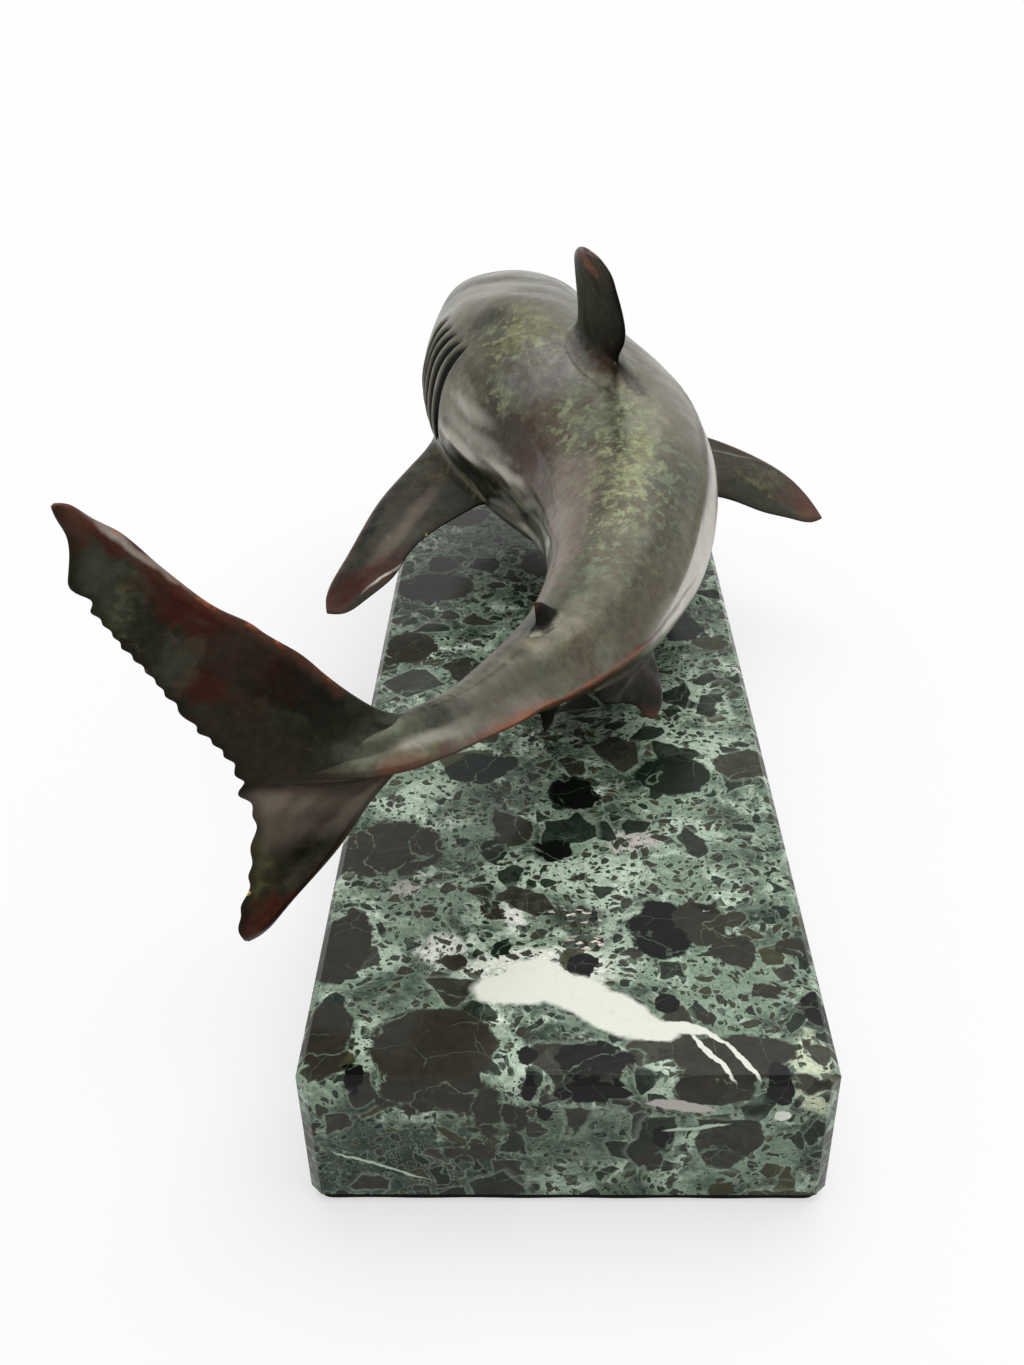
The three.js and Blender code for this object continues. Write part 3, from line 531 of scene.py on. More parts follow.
def build_body():
    """Trunk and head: points of the body moved out along its normals by the relief. Past the joint
    it sinks under the tail's casting."""
    stations = gathered(FIRST_STATION, JOINT + PAST_JOINT, BODY_RINGS, RING_GATHERING)
    places = [(np.radians(angle), np.radians(spread), gain) for angle, spread, gain in SIDE_GATHERING]
    sweep = gathered(0, 2 * np.pi, BODY_SIDES + 1, places)[:-1]
    t, angle = np.meshgrid(stations, sweep, indexing="ij")
    points = body_point(t, angle)
    outward = outward_at(t, angle)
    height, groove = body_relief(t, angle, points)
    sunk = UNDER_NEIGHBOUR * smoothstep(t, JOINT, JOINT + JOINT_STEP)
    normals = surface_normals(points)
    normals = normals * np.sign((normals * outward).sum(-1, keepdims=True))
    points = points + normals * (height - sunk)[..., None]
    # The groove attribute carries the shade that the body's material paints into its grooves
    piece = loft_piece("shark_body", points, {"groove": groove})
    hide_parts("body_casting", "core_plug_1", "core_plug_2", "core_plug_3", "core_plug_4")
    return piece


# Fins: outlines are pairs of distance out and distance back, as the castings have them
PELVIC_LEAD = [(-4, -12), (0, -10.5), (7, -3.8), (10, 1), (11.5, 7), (11.3, 11)]
PELVIC_TRAIL = [(-7, 19), (-3, 21), (2.5, 15), (7, 11.6), (10, 12), (11.3, 11)]
SMALL_LEAD = [(-3, -6), (0, -4.2), (2.5, -1), (5, 2.6), (5.6, 4.5)]
SMALL_TRAIL = [(-3, 5), (-0.8, 7.5), (0.6, 5.6), (3, 5.2), (5.6, 4.5)]
FINS = {
    "dorsal_fin": dict(
        station=0.43, angle=90, direction=88, pitch=0, half=4, bend=11, swell=2.5, fillet=4.5,
        lead=[(-6, -30), (0, -22.5), (6, -20.5), (12, -19.3), (19, -17.3), (27, -13), (33.4, -5), (36.8, 3),
              (37.6, 12)],
        trail=[(-6, 12), (-4, 12.5), (0, 6), (3, 3.5), (8, 6), (15, 10.3), (22, 12), (30, 14), (35, 15.5),
               (37.6, 12)],
    ),
    "second_dorsal_fin": dict(
        station=SMALL_FIN_STATION, angle=96, direction=96, pitch=0, half=1.2, bend=1, swell=0.8,
        fillet=1.8, lead=SMALL_LEAD, trail=SMALL_TRAIL,
    ),
    "anal_fin": dict(
        station=SMALL_FIN_STATION, angle=270, direction=270, pitch=0, half=1.2, bend=0, swell=0.8,
        fillet=1.8, lead=SMALL_LEAD, trail=SMALL_TRAIL,
    ),
    "left_pectoral_fin": dict(
        station=0.335, angle=-30, direction=-18, pitch=0, half=3.2, bend=0, swell=2, fillet=3.2,
        lead=[(-8, -31), (3.5, -25), (13.7, -20.5), (22, -16.4), (44.5, 0.9), (56.4, 12), (58.7, 17.2)],
        trail=[(-8, 9), (3, 8.4), (16, 8.6), (28, 11.7), (36, 17.1), (48, 20.4), (54.5, 20.7),
               (58.7, 17.2)],
    ),
    "right_pectoral_fin": dict(
        station=0.37, angle=210, direction=176, pitch=15, half=3.2, bend=0, swell=2, fillet=3.2,
        lead=[(-8, -24), (12, -14), (28, -1.5), (33.3, 5.2), (38.1, 12.6), (41.4, 20), (42.4, 36),
              (41.5, 41.5)],
        trail=[(-8, 14), (8, 17), (19, 24.5), (25, 32), (31.5, 37.5), (37, 41.5), (41.5, 41.5)],
    ),
    "left_pelvic_fin": dict(
        station=0.684, angle=300, direction=305, pitch=0, half=1.6, bend=-1.5, swell=1, fillet=2,
        lead=PELVIC_LEAD, trail=PELVIC_TRAIL,
    ),
    "right_pelvic_fin": dict(
        station=0.684, angle=240, direction=235, pitch=0, half=1.6, bend=1.5, swell=1, fillet=2,
        lead=PELVIC_LEAD, trail=PELVIC_TRAIL,
    ),
}
FIN_LAST_SHARE = 0.995
FIN_TIP_THINNING = 0.45
FIN_REAR_THINNING = 0.35
FIN_ROOT_SWELL = 0.8
FIN_RINGS = 130
FIN_SIDES = 96
# Where a fin's rings lie closer: how far past its foot, or where, the spread and the gain
FIN_FOOT_GATHERING = (0.02, 0.07, 5.0)
FIN_TIP_GATHERING = (1, 0.05, 4.0)
FILLET_END_SHARE = 0.6
FILLET_PASSES = 3
# The hand relief on a blade: its share, and its waves' size next to the body's
FIN_HAND_SHARE = 0.7
FIN_HAND_SIZE = 0.8
# Heights over the body between which a fin becomes a free blade
BLADE_START = (1, 5)
# From what height a fin begins to lose the body's skin and at what share of the fillet's height it
# has none, the reach from which a fin's rim is as narrow as it is measured, and the distance that
# keeps the rim off the foot
SKIN_START = 0.2
SKIN_SHARE = 0.5
RIM_REACH = 36
RIM_CLEARANCE = 8


def fin_frame(fin):
    """Root point of a fin and its directions out, back and across."""
    forward, left, up = body_frame(fin["station"])
    pitch = math.radians(fin["pitch"])
    direction = math.radians(fin["direction"])
    back = -forward * math.cos(pitch) - up * math.sin(pitch)
    out = left * math.cos(direction) + up * math.sin(direction)
    out = unit(out - back * (out @ back))
    return body_point(fin["station"], math.radians(fin["angle"])), out, back, np.cross(back, out)


def fillet(height, radius):
    """Width that a round fillet adds at a height over the surface: r - sqrt(r^2 - (r - h)^2)."""
    gap = np.clip(radius - height, 0, radius)
    return radius - np.sqrt(radius ** 2 - gap ** 2)


def build_fin(name, fin):
    """Fin from root to tip: each ring runs round its section from the leading edge (share 0 of the
    chord) to the trailing edge and back. The half thickness goes as sqrt(1 - u^2) along the fin and
    as a sine round the section, the blade bends across as the square of the distance out, and a
    round fillet widens the foot where it meets the body: each of its points is moved out and then
    brought back to the height over the body that it had. The distances from the edges are
    stretched on a short fin, so that its wear stays in proportion."""
    root, out, back, across = fin_frame(fin)
    lead, lead_shares = curve_through(fin["lead"])
    trail, _ = curve_through(fin["trail"])
    reach = max(row[0] for row in fin["lead"])
    foot = np.interp(0, [row[0] for row in fin["lead"]], lead_shares)
    past, wide, gain = FIN_FOOT_GATHERING
    places = [(foot + past, wide, gain), FIN_TIP_GATHERING]
    u = FIN_LAST_SHARE * gathered(0, 1, FIN_RINGS, places)
    turn = np.arange(FIN_SIDES) / FIN_SIDES * 2 * np.pi
    chord = (1 - np.cos(turn)) / 2
    front, rear = lead(u)[:, None], trail(u)[:, None]
    place = front + (rear - front) * chord[None, :, None]
    distance, behind = place[..., 0], place[..., 1]
    along = u[:, None]
    taper = np.sqrt(1 - along ** 2) * (1 - FIN_TIP_THINNING * along) * (1 - FIN_REAR_THINNING * chord)
    swell = 1 + FIN_ROOT_SWELL * np.exp(-np.maximum(distance, 0) / fin["swell"])
    half = fin["half"] * taper * swell * np.sin(turn)
    bend = fin["bend"] * np.clip(distance / reach, 0, 1) ** 2
    points = (root + out * distance[..., None] + back * behind[..., None]
              + across * (half + bend)[..., None])
    height, _ = height_over_body(points)
    grown = fillet(height, fin["fillet"])[..., None]
    outwards = -back * np.cos(turn)[None, :, None] * FILLET_END_SHARE + across * np.sin(turn)[None, :, None]
    points = points + outwards * grown
    near = height[..., None] < fin["fillet"]
    for _ in range(FILLET_PASSES):
        over, away = height_over_body(points)
        points = points - away * np.where(near, (over - height)[..., None], 0)
    free = smoothstep(height, *BLADE_START)
    points = points + across * (FIN_HAND_SHARE * hand_relief(points, FIN_HAND_SIZE) * free)[..., None]
    length = np.linalg.norm(rear - front, axis=-1)
    spread = max(1.0, RIM_REACH / reach)
    attributes = {
        "front": spread * chord * length + RIM_CLEARANCE * (1 - free),
        "rear": spread * (1 - chord) * length,
        "tip": spread * np.broadcast_to((1 - along) * reach, half.shape),
        "skin": 1 - smoothstep(height, SKIN_START, SKIN_SHARE * fin["fillet"]),
    }
    piece = loft_piece("cast_" + name, points, attributes)
    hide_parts(name)
    return piece


# Tail fin, drawn in an upright plane through the end of the body: distance back, height
TAIL_PLANE_ANGLE = 25
TAIL_HALF_THICKNESS = 1.3
TAIL_ROOT_HALF_THICKNESS = 3.2
TAIL_ROOT_REACH = 9
TAIL_LEAD = [
    (33.8, -37.4), (31.9, -37), (25.4, -32), (12.4, -20), (1.5, -8), (-7, 0),
    (1, 6.3), (12, 18.2), (25, 31.7), (38.5, 46.6), (46, 55.4), (49.6, 58.5), (52, 59),
]
TAIL_TRAIL = [
    (33.8, -37.4), (34.6, -34.5), (32.6, -26.5), (30.2, -17.5), (28.8, -8.5), (29.8, -1),
    (32.1, 6), (37.3, 15.5), (43.5, 28), (49.4, 39.4), (51.3, 47), (51, 54.5), (52, 59),
]
# The trailing edge's bites: height and how far the edge stands back of the smooth outline there
TAIL_BITES = [
    (-37, 0), (-33, 0.2), (-30.6, -0.2), (-28.2, 0.5), (-26.1, -0.2), (-24, -0.6), (-21.6, 0.3),
    (-19.4, -0.3), (-17.3, 0.1), (-14.9, 0.6), (-12.7, -0.2), (-10.5, -0.7), (-8.2, 0.1), (-6, -0.4),
    (-4.6, 0.2), (-3, 1.9), (-1.7, 1), (-0.4, -0.7), (1.2, 0.4), (2.9, -0.2), (4.4, -0.9), (6, 0.2),
    (7.6, -0.6), (9.1, 0.2), (10.8, -0.4), (12.3, 0.8), (13.6, -0.2), (15, 0.1), (17.9, 0.2),
    (19.3, -0.5), (20.9, 0.4), (22.4, -0.3), (23.6, 0.1), (25, -0.4), (26.4, 0.2), (27.8, -0.4),
    (29, 0.3), (30.5, -0.3), (31.8, 0.4), (33, -0.4), (34.2, -0.1), (35.4, -0.7), (36.7, -0.2),
    (38, -0.7), (39.4, 0.1), (40.6, -1.1), (41.8, -1.4), (42.6, -0.4), (44.3, 1.1), (46.4, 0.6),
    (48.4, -0.1), (50.4, -0.4), (54.5, 0), (59, 0),
]
# Waves of its leading edge: height and how far it stands out there
TAIL_WAVES = [
    (-38, 0), (0, 0), (12, 0), (18.6, -0.3), (23.3, 0.15), (29.2, 0.1), (31.4, 0.3), (34.4, -0.35),
    (37.9, -0.6), (42, -0.35), (46.2, 0), (48.5, 0.3), (50.6, 0.5), (52.5, 0.5), (55.2, -0.2), (59, 0),
]
BITE_SHARE = 0.75
BITE_REACH = 3.5
WAVE_RISE = 1.3
WAVE_REACH = 5
TAIL_MIDDLE_POINT = 5
TAIL_MIDDLE_SHARE = 0.45
TAIL_TIP_ROUNDNESS = 8
TAIL_REAR_THINNING = 0.6
TAIL_SECTION_POWER = 0.8
TAIL_END_SHARE = 0.004
TAIL_RINGS = 460
TAIL_SIDES = 110
TAIL_GATHERING = [(0, 0.03, 3), (1, 0.02, 2.5)]
# The rolled leading edge and the hollow behind it: height, place behind the edge, half width
EDGE_ROLL = (0.9, 2.4, 1.9)
EDGE_HOLLOW = (0.35, 7.5, 3.0)
# The keel's line across the fin, its height, how fast it falls off above and below, and where it
# fades before the trailing edge
KEEL_DROP = -5.7
KEEL_SLOPE = 0.21
KEEL_RISE = 1.9
KEEL_UPPER_FALL = 6.5
KEEL_LOWER_FALL = 1.3
KEEL_FADE = (0.5, 12)
# The hollow below the keel: depth, and the distances from the keel between which it sets in and ends
LOBE_HOLLOW = 0.35
LOBE_FADE_IN = (0, 6)
LOBE_FADE_OUT = (14, 26)
# Ripples near the trailing edge, bent to and fro along the fin
RIPPLE_HEIGHT = 0.28
RIPPLE_STEP = 2.3
RIPPLE_SWAY = 0.6
RIPPLE_SWAY_STEP = 3.1
RIPPLE_PLACE = 4
RIPPLE_REACH = 5
TAIL_HAND_SHARE = 0.9
TAIL_HAND_SIZE = 1.1
# How the fin's front bends out of its plane into the stalk: where from, and the stalk's slope there
TAIL_BEND_START = 4
STALK_SLOPE = 0.74
# Distances back between which the body's skin runs out over the fin, the fin swells to its full
# root, and its leading edge begins to be worn
SKIN_RUN_OUT = (-6, 18)
STALK_RUN_OUT = (-4, 12)
RIM_START = (0, 12)
# The line along which the body's skin runs out, and how wide it is there
SKIN_DROP = 1
SKIN_SLOPE = 0.2
SKIN_HALF_WIDTH = 5
# The stalk's end: a point that carries the keel on across the fin
SPEAR_LENGTH = 30
SPEAR_DRIFT = 5
SPEAR_RINGS = 60
SPEAR_TURN_SHARE = 0.45
SPEAR_LEAST_HALF = 0.1
SPEAR_SLOPE = 0.03
STALK_OVERLAP = 0.006
STALK_RINGS = 130
# Distance from a rim that counts as far from it, and the tail fin's length between its tips
FAR_FROM_RIM = 12.0
TAIL_SPAN = 110


def tail_directions():
    """End of the body, and the tail fin's directions back and across."""
    angle = math.radians(TAIL_PLANE_ANGLE)
    back = np.array([-math.cos(angle), -math.sin(angle), 0])
    return spine_point(1.0), back, np.cross(back, UP)


def stalk_skin(behind):
    """Share of the body's skin, which runs out over the start of the fin."""
    return 1 - smoothstep(behind, *SKIN_RUN_OUT)


def tail_plan(u, chord):
    """Rings of the tail fin in its plane, each from the leading edge (share 0 of the chord) to the
    trailing edge, with waves cut into the one and bites into the other. Gives the distances back,
    the heights and the distances from both edges."""
    outlines = []
    for table in (TAIL_LEAD, TAIL_TRAIL):
        curve, shares = curve_through(table)
        middle = shares[TAIL_MIDDLE_POINT]
        low = u / TAIL_MIDDLE_SHARE * middle
        high = middle + (u - TAIL_MIDDLE_SHARE) / (1 - TAIL_MIDDLE_SHARE) * (1 - middle)
        outlines.append(curve(np.where(u < TAIL_MIDDLE_SHARE, low, high))[:, None])
    front, rear = outlines
    place = front + (rear - front) * chord[..., None]
    wide = np.linalg.norm(rear - front, axis=-1)
    from_front = chord * wide
    from_rear = (1 - chord) * wide
    height = place[..., 1]
    bites = table_spline(TAIL_BITES)(height)[..., 0]
    waves = table_spline(TAIL_WAVES)(height)[..., 0]
    behind = place[..., 0] + BITE_SHARE * bites * bell(from_rear, BITE_REACH)
    behind = behind - WAVE_RISE * waves * bell(from_front, WAVE_REACH)
    return behind, height, from_front, from_rear


def tail_fin_rings():
    """Rings from the lower tip through the end of the body to the upper tip. The half thickness goes
    as a power of the sine round a section, swells at the root as a bell of the height, rises to a
    soft ridge along the keel's line, is hollowed a little under it and has a rolled leading edge.
    In front of the root the fin bends out of its plane as a square, until its slope is the
    stalk's."""
    root, back, across = tail_directions()
    u = TAIL_END_SHARE + (1 - 2 * TAIL_END_SHARE) * gathered(0, 1, TAIL_RINGS, TAIL_GATHERING)
    turn = np.arange(TAIL_SIDES) / TAIL_SIDES * 2 * np.pi
    chord = ((1 - np.cos(turn)) / 2)[None]
    behind, height, from_front, from_rear = tail_plan(u, chord)
    past_stalk = smoothstep(behind, *STALK_RUN_OUT)
    at_root = bell(height, TAIL_ROOT_REACH) * past_stalk
    full = TAIL_HALF_THICKNESS + (TAIL_ROOT_HALF_THICKNESS - TAIL_HALF_THICKNESS) * at_root
    taper = np.sqrt(1 - np.abs(2 * u - 1) ** TAIL_TIP_ROUNDNESS)[:, None] * (1 - TAIL_REAR_THINNING * chord)
    rolled, hollowed = (
        rise * bell(from_front - middle, spread) * (1 - at_root)
        for rise, middle, spread in (EDGE_ROLL, EDGE_HOLLOW)
    )
    over_keel = height - (KEEL_DROP + KEEL_SLOPE * behind)
    fall = np.where(over_keel > 0, over_keel / KEEL_UPPER_FALL, -over_keel / KEEL_LOWER_FALL)
    keel = KEEL_RISE * past_stalk * np.exp(-fall) * smoothstep(from_rear, *KEEL_FADE)
    set_in = smoothstep(-over_keel, *LOBE_FADE_IN)
    lobe = -LOBE_HOLLOW * set_in * (1 - smoothstep(-over_keel, *LOBE_FADE_OUT))
    side = np.sign(np.sin(turn)) * np.abs(np.sin(turn)) ** TAIL_SECTION_POWER
    half = (full * taper + (rolled - hollowed) * taper) * side + (keel + lobe) * np.sin(turn)
    sway = RIPPLE_SWAY * np.sin(behind / RIPPLE_SWAY_STEP)
    near_rear = bell(from_rear - RIPPLE_PLACE, RIPPLE_REACH)
    ripple = RIPPLE_HEIGHT * np.sin(height / RIPPLE_STEP + sway) * near_rear
    bend = STALK_SLOPE * np.maximum(TAIL_BEND_START - behind, 0) ** 2 / (4 * TAIL_BEND_START)
    points = (root + back * behind[..., None] + UP * height[..., None]
              + across * (half + ripple * np.abs(np.sin(turn)) + bend)[..., None])
    hand = TAIL_HAND_SHARE * hand_relief(points, TAIL_HAND_SIZE) * np.abs(np.sin(turn))
    points = points + across * hand[..., None]
    attributes = {
        "front": from_front + RIM_CLEARANCE * (1 - smoothstep(behind, *RIM_START)),
        "rear": from_rear,
        "tip": np.broadcast_to((0.5 - np.abs(u - 0.5))[:, None] * TAIL_SPAN, half.shape),
        "skin": stalk_skin(behind) * bell(height + SKIN_DROP - SKIN_SLOPE * behind, SKIN_HALF_WIDTH),
    }
    return points, attributes


def stalk_rings():
    """The stalk beyond the joint, then a tapering point that carries its keel across the fin: past
    the body's end the section shrinks with the distance back, and its frame turns to the fin's. Its
    centre first keeps the stalk's slope across the fin, by s * d * exp(-d / drift)."""
    t = gathered(JOINT - STALK_OVERLAP, 1, STALK_RINGS, [(JOINT, 0.01, 2)])[:, None]
    angle = (np.arange(BODY_SIDES) / BODY_SIDES * 2 * np.pi)[None]
    base = body_point(t, angle)
    sunk = UNDER_NEIGHBOUR * (1 - smoothstep(t, JOINT - JOINT_STEP, JOINT))
    relief = hand_relief(base) - sunk
    tube = base + outward_at(*np.broadcast_arrays(t, angle)) * relief[..., None]
    root, back, across = tail_directions()
    share = np.linspace(0, 1, SPEAR_RINGS)[1:, None]
    far = share * SPEAR_LENGTH
    _, left, up = body_frame(1.0)
    blend = smoothstep(share, 0, SPEAR_TURN_SHARE)[..., None]
    side_way = unit(left * (1 - blend) + across * blend * np.sign(left @ across))
    up_way = unit(up * (1 - blend) + UP * blend)
    half = section_at(1.0)
    shrink = 1 - share
    keel = ridge_height(np.ones_like(angle), angle) * shrink
    tall = np.where(np.sin(angle) > 0, half[1], half[2]) * shrink
    side = (half[0] * shrink + keel + SPEAR_LEAST_HALF) * np.cos(angle)
    rise = (tall + keel + SPEAR_LEAST_HALF) * np.sin(angle)
    drift = STALK_SLOPE * far * np.exp(-far / SPEAR_DRIFT)
    centre = root + back * far[..., None] - across * drift[..., None] + UP * (SPEAR_SLOPE * far)[..., None]
    spear = centre + side_way * side[..., None] + up_way * rise[..., None]
    return np.vstack([tube, spear])


def build_tail():
    """Stalk and fin cast in one: two closed shells that run into each other."""
    stalk_points, stalk_quads, stalk_fans = shell(stalk_rings())
    fin_rings, marks = tail_fin_rings()
    fin_points, fin_quads, fin_fans = shell(fin_rings)
    root, back, _ = tail_directions()
    behind = (stalk_points - root) @ back
    plain = {"front": FAR_FROM_RIM, "rear": FAR_FROM_RIM, "tip": FAR_FROM_RIM, "skin": stalk_skin(behind)}
    attributes = {
        label: np.append(np.broadcast_to(plain[label], behind.shape), shell_values(values))
        for label, values in marks.items()
    }
    start = len(stalk_points)
    points = np.vstack([stalk_points, fin_points])
    quads = np.vstack([stalk_quads, fin_quads + start])
    fans = np.vstack([stalk_fans, fin_fans + start])
    piece = mesh_piece("cast_tail", points, quads, fans, attributes)
    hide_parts("tail_casting")
    return piece


# Post and felt
POST_SIDES = 96
POST_FOOT_RINGS = 6
POST_RINGS = 60
POST_EASE = 0.6
POST_FILLET = 1.6
POST_FILLET_SINK = 0.4
POST_SINK = 1.2
FELT_POINTS = 600
FELT_ROUNDNESS = 60
FELT_BULGE = 0.15
FELT_INSET = 0.12


def build_post():
    """Turned post: a profile of radius by height round the stud's axis, with an eased foot, that
    widens in a round fillet under the belly and ends inside it."""
    radius = (post_high[0] - post_low[0]) / 2
    middle = (post_low + post_high) / 2
    foot = np.linspace(0, POST_EASE, POST_FOOT_RINGS)
    shaft = np.linspace(1, post_high[2] - post_low[2] + POST_SINK, POST_RINGS)
    height = np.append(foot, shaft)
    turn = np.arange(POST_SIDES) / POST_SIDES * 2 * np.pi
    eased = radius - POST_EASE * (1 - smoothstep(height, 0, POST_EASE))
    ring = np.stack([np.cos(turn), np.sin(turn), 0 * turn], -1)
    axis = np.column_stack([np.full((len(height), 2), middle[:2]), post_low[2] + height])
    points = ring * eased[:, None, None] + axis[:, None]
    over, _ = height_over_body(points)
    grown = fillet(np.maximum(over, 0), POST_FILLET) * (over > -POST_FILLET_SINK)
    points[..., :2] += ring[:, :2] * grown[..., None]
    piece = loft_piece("turned_post", points)
    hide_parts("support_post")
    return piece


def build_felt():
    """Felt cut by hand: a flat slab whose outline is |x|^p + |y|^p = 1 in shares of its half sizes,
    which rounds the corners. It wanders by a tenth of a millimetre, and the cut edge bulges as a
    sine of the height."""
    low, high = (np.array(corner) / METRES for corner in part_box("felt_pad"))
    half = (high - low)[:2] / 2
    thick = high[2] - low[2]
    turn = np.linspace(0, 2 * np.pi, FELT_POINTS, endpoint=False) + 0.001
    power = FELT_ROUNDNESS
    shape = (np.abs(np.cos(turn)) ** power + np.abs(np.sin(turn)) ** power) ** (-1 / power)
    outline = np.stack([half[0] * shape * np.cos(turn), half[1] * shape * np.sin(turn)], -1)
    wander = 0.07 * np.sin(outline[:, 0] / 3.1 + outline[:, 1] / 2.3) + 0.05 * np.sin(outline[:, 1] / 1.1)
    # Rings up the pad: share of the height, share of the way out from the middle
    levels = [(0.0, 0.02), (0.0, 0.5), (0.0, 1.0), (0.12, 1.0), (0.5, 1.0), (0.88, 1.0), (1.0, 1.0),
              (1.0, 0.5), (1.0, 0.02)]
    rings = []
    for rise, share in levels:
        bulge = FELT_BULGE * math.sin(math.pi * rise) - FELT_INSET + wander * share
        ring = outline * share * (1 + bulge[:, None] / np.linalg.norm(outline, axis=1, keepdims=True))
        rings.append(np.column_stack([ring, np.full(len(ring), low[2] + thick * rise)]))
    piece = loft_piece("felt_sheet", np.array(rings), smooth=False)
    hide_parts("felt_pad")
    return piece


# Shader trees


class Wire:
    """A socket of a shader tree. Arithmetic on it adds Math nodes."""

    def __init__(self, shading, socket):
        self.shading = shading
        self.socket = socket

    def math(self, operation, *others, clamp=False):
        """A Math node on this socket and others."""
        values = dict(enumerate([self, *others]))
        return self.shading.node("Math", {"operation": operation, "use_clamp": clamp}, values)

    def __add__(self, other):
        return self.math("ADD", other)

    __radd__ = __add__

    def __mul__(self, other):
        return self.math("MULTIPLY", other)

    __rmul__ = __mul__

    def __sub__(self, other):
        return self.math("SUBTRACT", other)

    def __rsub__(self, other):
        return (self * -1) + other

    def high(self, other):
        """The greater of this and another."""
        return self.math("MAXIMUM", other)

    def away(self):
        """How far this is from zero."""
        return self.math("ABSOLUTE")


def rgb(red, green, blue):
    """Linear colour from one written in screen levels of 0 to 255."""
    levels = np.array([red, green, blue]) / 255
    linear = np.where(levels <= 0.04045, levels / 12.92, ((levels + 0.055) / 1.055) ** 2.4)
    return (*linear.tolist(), 1.0)


class Shading:
    """The nodes of one material or world."""

    def __init__(self, tree):
        self.tree = tree
        self.tree.nodes.clear()

    def node(self, kind, settings=None, sockets=None, output=0):
        """One node: its type, its settings, and the values or links of its sockets."""
        made = self.tree.nodes.new("ShaderNode" + kind)
        for name, value in (settings or {}).items():
            setattr(made, name, value)
        for key, value in (sockets or {}).items():
            if isinstance(value, Wire):
                self.tree.links.new(value.socket, made.inputs[key])
            else:
                made.inputs[key].default_value = value
        return Wire(self, made.outputs[output]) if len(made.outputs) else made

    def smooth(self, value, low, high, to_low=0.0, to_high=1.0):
        """A soft step of a value: from to_low at low to to_high at high."""
        return self.node("MapRange", {"interpolation_type": "SMOOTHSTEP"},
                         {0: value, 1: low, 2: high, 3: to_low, 4: to_high})

    def mix(self, share, first, second):
        """Two colours mixed, by the share of the second."""
        return self.node("Mix", {"data_type": "RGBA"}, {0: share, 6: first, 7: second}, 2)

    def vector(self, operation, *values):
        """A Vector Math node. Those that give a number have it on their second output."""
        output = 1 if operation in ("LENGTH", "DISTANCE", "DOT_PRODUCT") else 0
        return self.node("VectorMath", {"operation": operation}, dict(enumerate(values)), output)

    def scaled(self, vector, scale):
        """A vector or colour times a number."""
        return self.node("VectorMath", {"operation": "SCALE"}, {0: vector, "Scale": scale})

    def noise(self, coords, scale, detail=4.0, roughness=0.55, distortion=0.0, output=0):
        """Noise of a scale in waves to the millimetre; output 1 is its colour."""
        return self.node("TexNoise", {}, {
            "Vector": coords, "Scale": scale, "Detail": detail, "Roughness": roughness,
            "Distortion": distortion,
        }, output)

    def cells(self, coords, scale, feature="F1", output=0):
        """Cells of a scale in cells to the millimetre: distance from their middle or their edge, or
        with output 1 a random colour for each."""
        return self.node("TexVoronoi", {"feature": feature}, {"Vector": coords, "Scale": scale}, output)

    def attribute(self, name):
        """The value that a mesh's attribute has at each point."""
        return self.node("Attribute", {"attribute_name": name}, {}, 2)

    def millimetres(self):
        """The piece's own place in millimetres."""
        return self.scaled(self.node("TexCoord", {}, {}, 3), 1 / METRES)

    def warped(self, coords, scale, amount):
        """Coordinates pushed about by a noise of its own scale."""
        push = self.vector("SUBTRACT", self.noise(coords, scale, 3.0, output=1), (0.5, 0.5, 0.5))
        return self.vector("ADD", coords, self.scaled(push, amount * 2))

    def patch(self, coords, centre, axes, radii, edge):
        """Mask of a soft ellipsoid: 1 in its middle, 0 outside, by the length of the coordinates
        turned and scaled to it."""
        turn = Matrix(np.transpose(axes).tolist()).to_euler()
        inside = self.node("Mapping", {"vector_type": "TEXTURE"}, {
            "Vector": coords, "Location": tuple(centre), "Rotation": tuple(turn),
            "Scale": tuple(radii),
        })
        return self.smooth(self.vector("LENGTH", inside), 1 - edge, 1 + edge, 1.0, 0.0)

    def bump(self, height, distance, under=None):
        """Relief from a height, a distance in metres deep, over another relief."""
        sockets = {"Height": height, "Distance": distance}
        if under is not None:
            sockets["Normal"] = under
        return self.node("Bump", {}, sockets)


# Depths of the materials' relief, in metres
SLOW_WAVE_DEPTH = 0.0012
MOTTLE_DEPTH = 0.00007
POLISH_DEPTH = 0.00002
FIBRE_DEPTH = 0.0004
TURNING_DEPTH = 0.00006


def material(name):
    """A new material and its empty shader tree."""
    made = bpy.data.materials.new(name)
    made.use_nodes = True
    return made, Shading(made.node_tree)


def surface(shading, sockets):
    """Close a material with one shader of these sockets."""
    shader = shading.node("BsdfPrincipled", {}, sockets)
    shading.node("OutputMaterial", {}, {"Surface": shader})


# Patina colours, and painted light: SHADE for shade, PALE_SHEEN for highlights and reflections, GOLD for
# glints
OLIVE = rgb(108, 107, 90)
OLIVE_BROWN = rgb(92, 86, 68)
DARK_BROWN = rgb(60, 53, 42)
BLACK_BROWN = rgb(24, 20, 14)
# Painted shade in the body's grooves and on the small fin's shaded side
BLACK = rgb(8, 8, 6)
DARK_GREEN = rgb(44, 48, 34)
WARM_GREY = rgb(138, 131, 116)
GREY_GREEN = rgb(92, 98, 80)
VERDIGRIS = rgb(106, 118, 95)
PALE_GREEN = rgb(139, 145, 112)
YELLOW_GREEN = rgb(120, 120, 80)
PURPLE_GREY = rgb(112, 108, 104)
RED_BROWN = rgb(78, 50, 38)
DULL_RED = rgb(80, 30, 18)
COPPER = rgb(160, 88, 56)
ORANGE_BROWN = rgb(140, 72, 34)
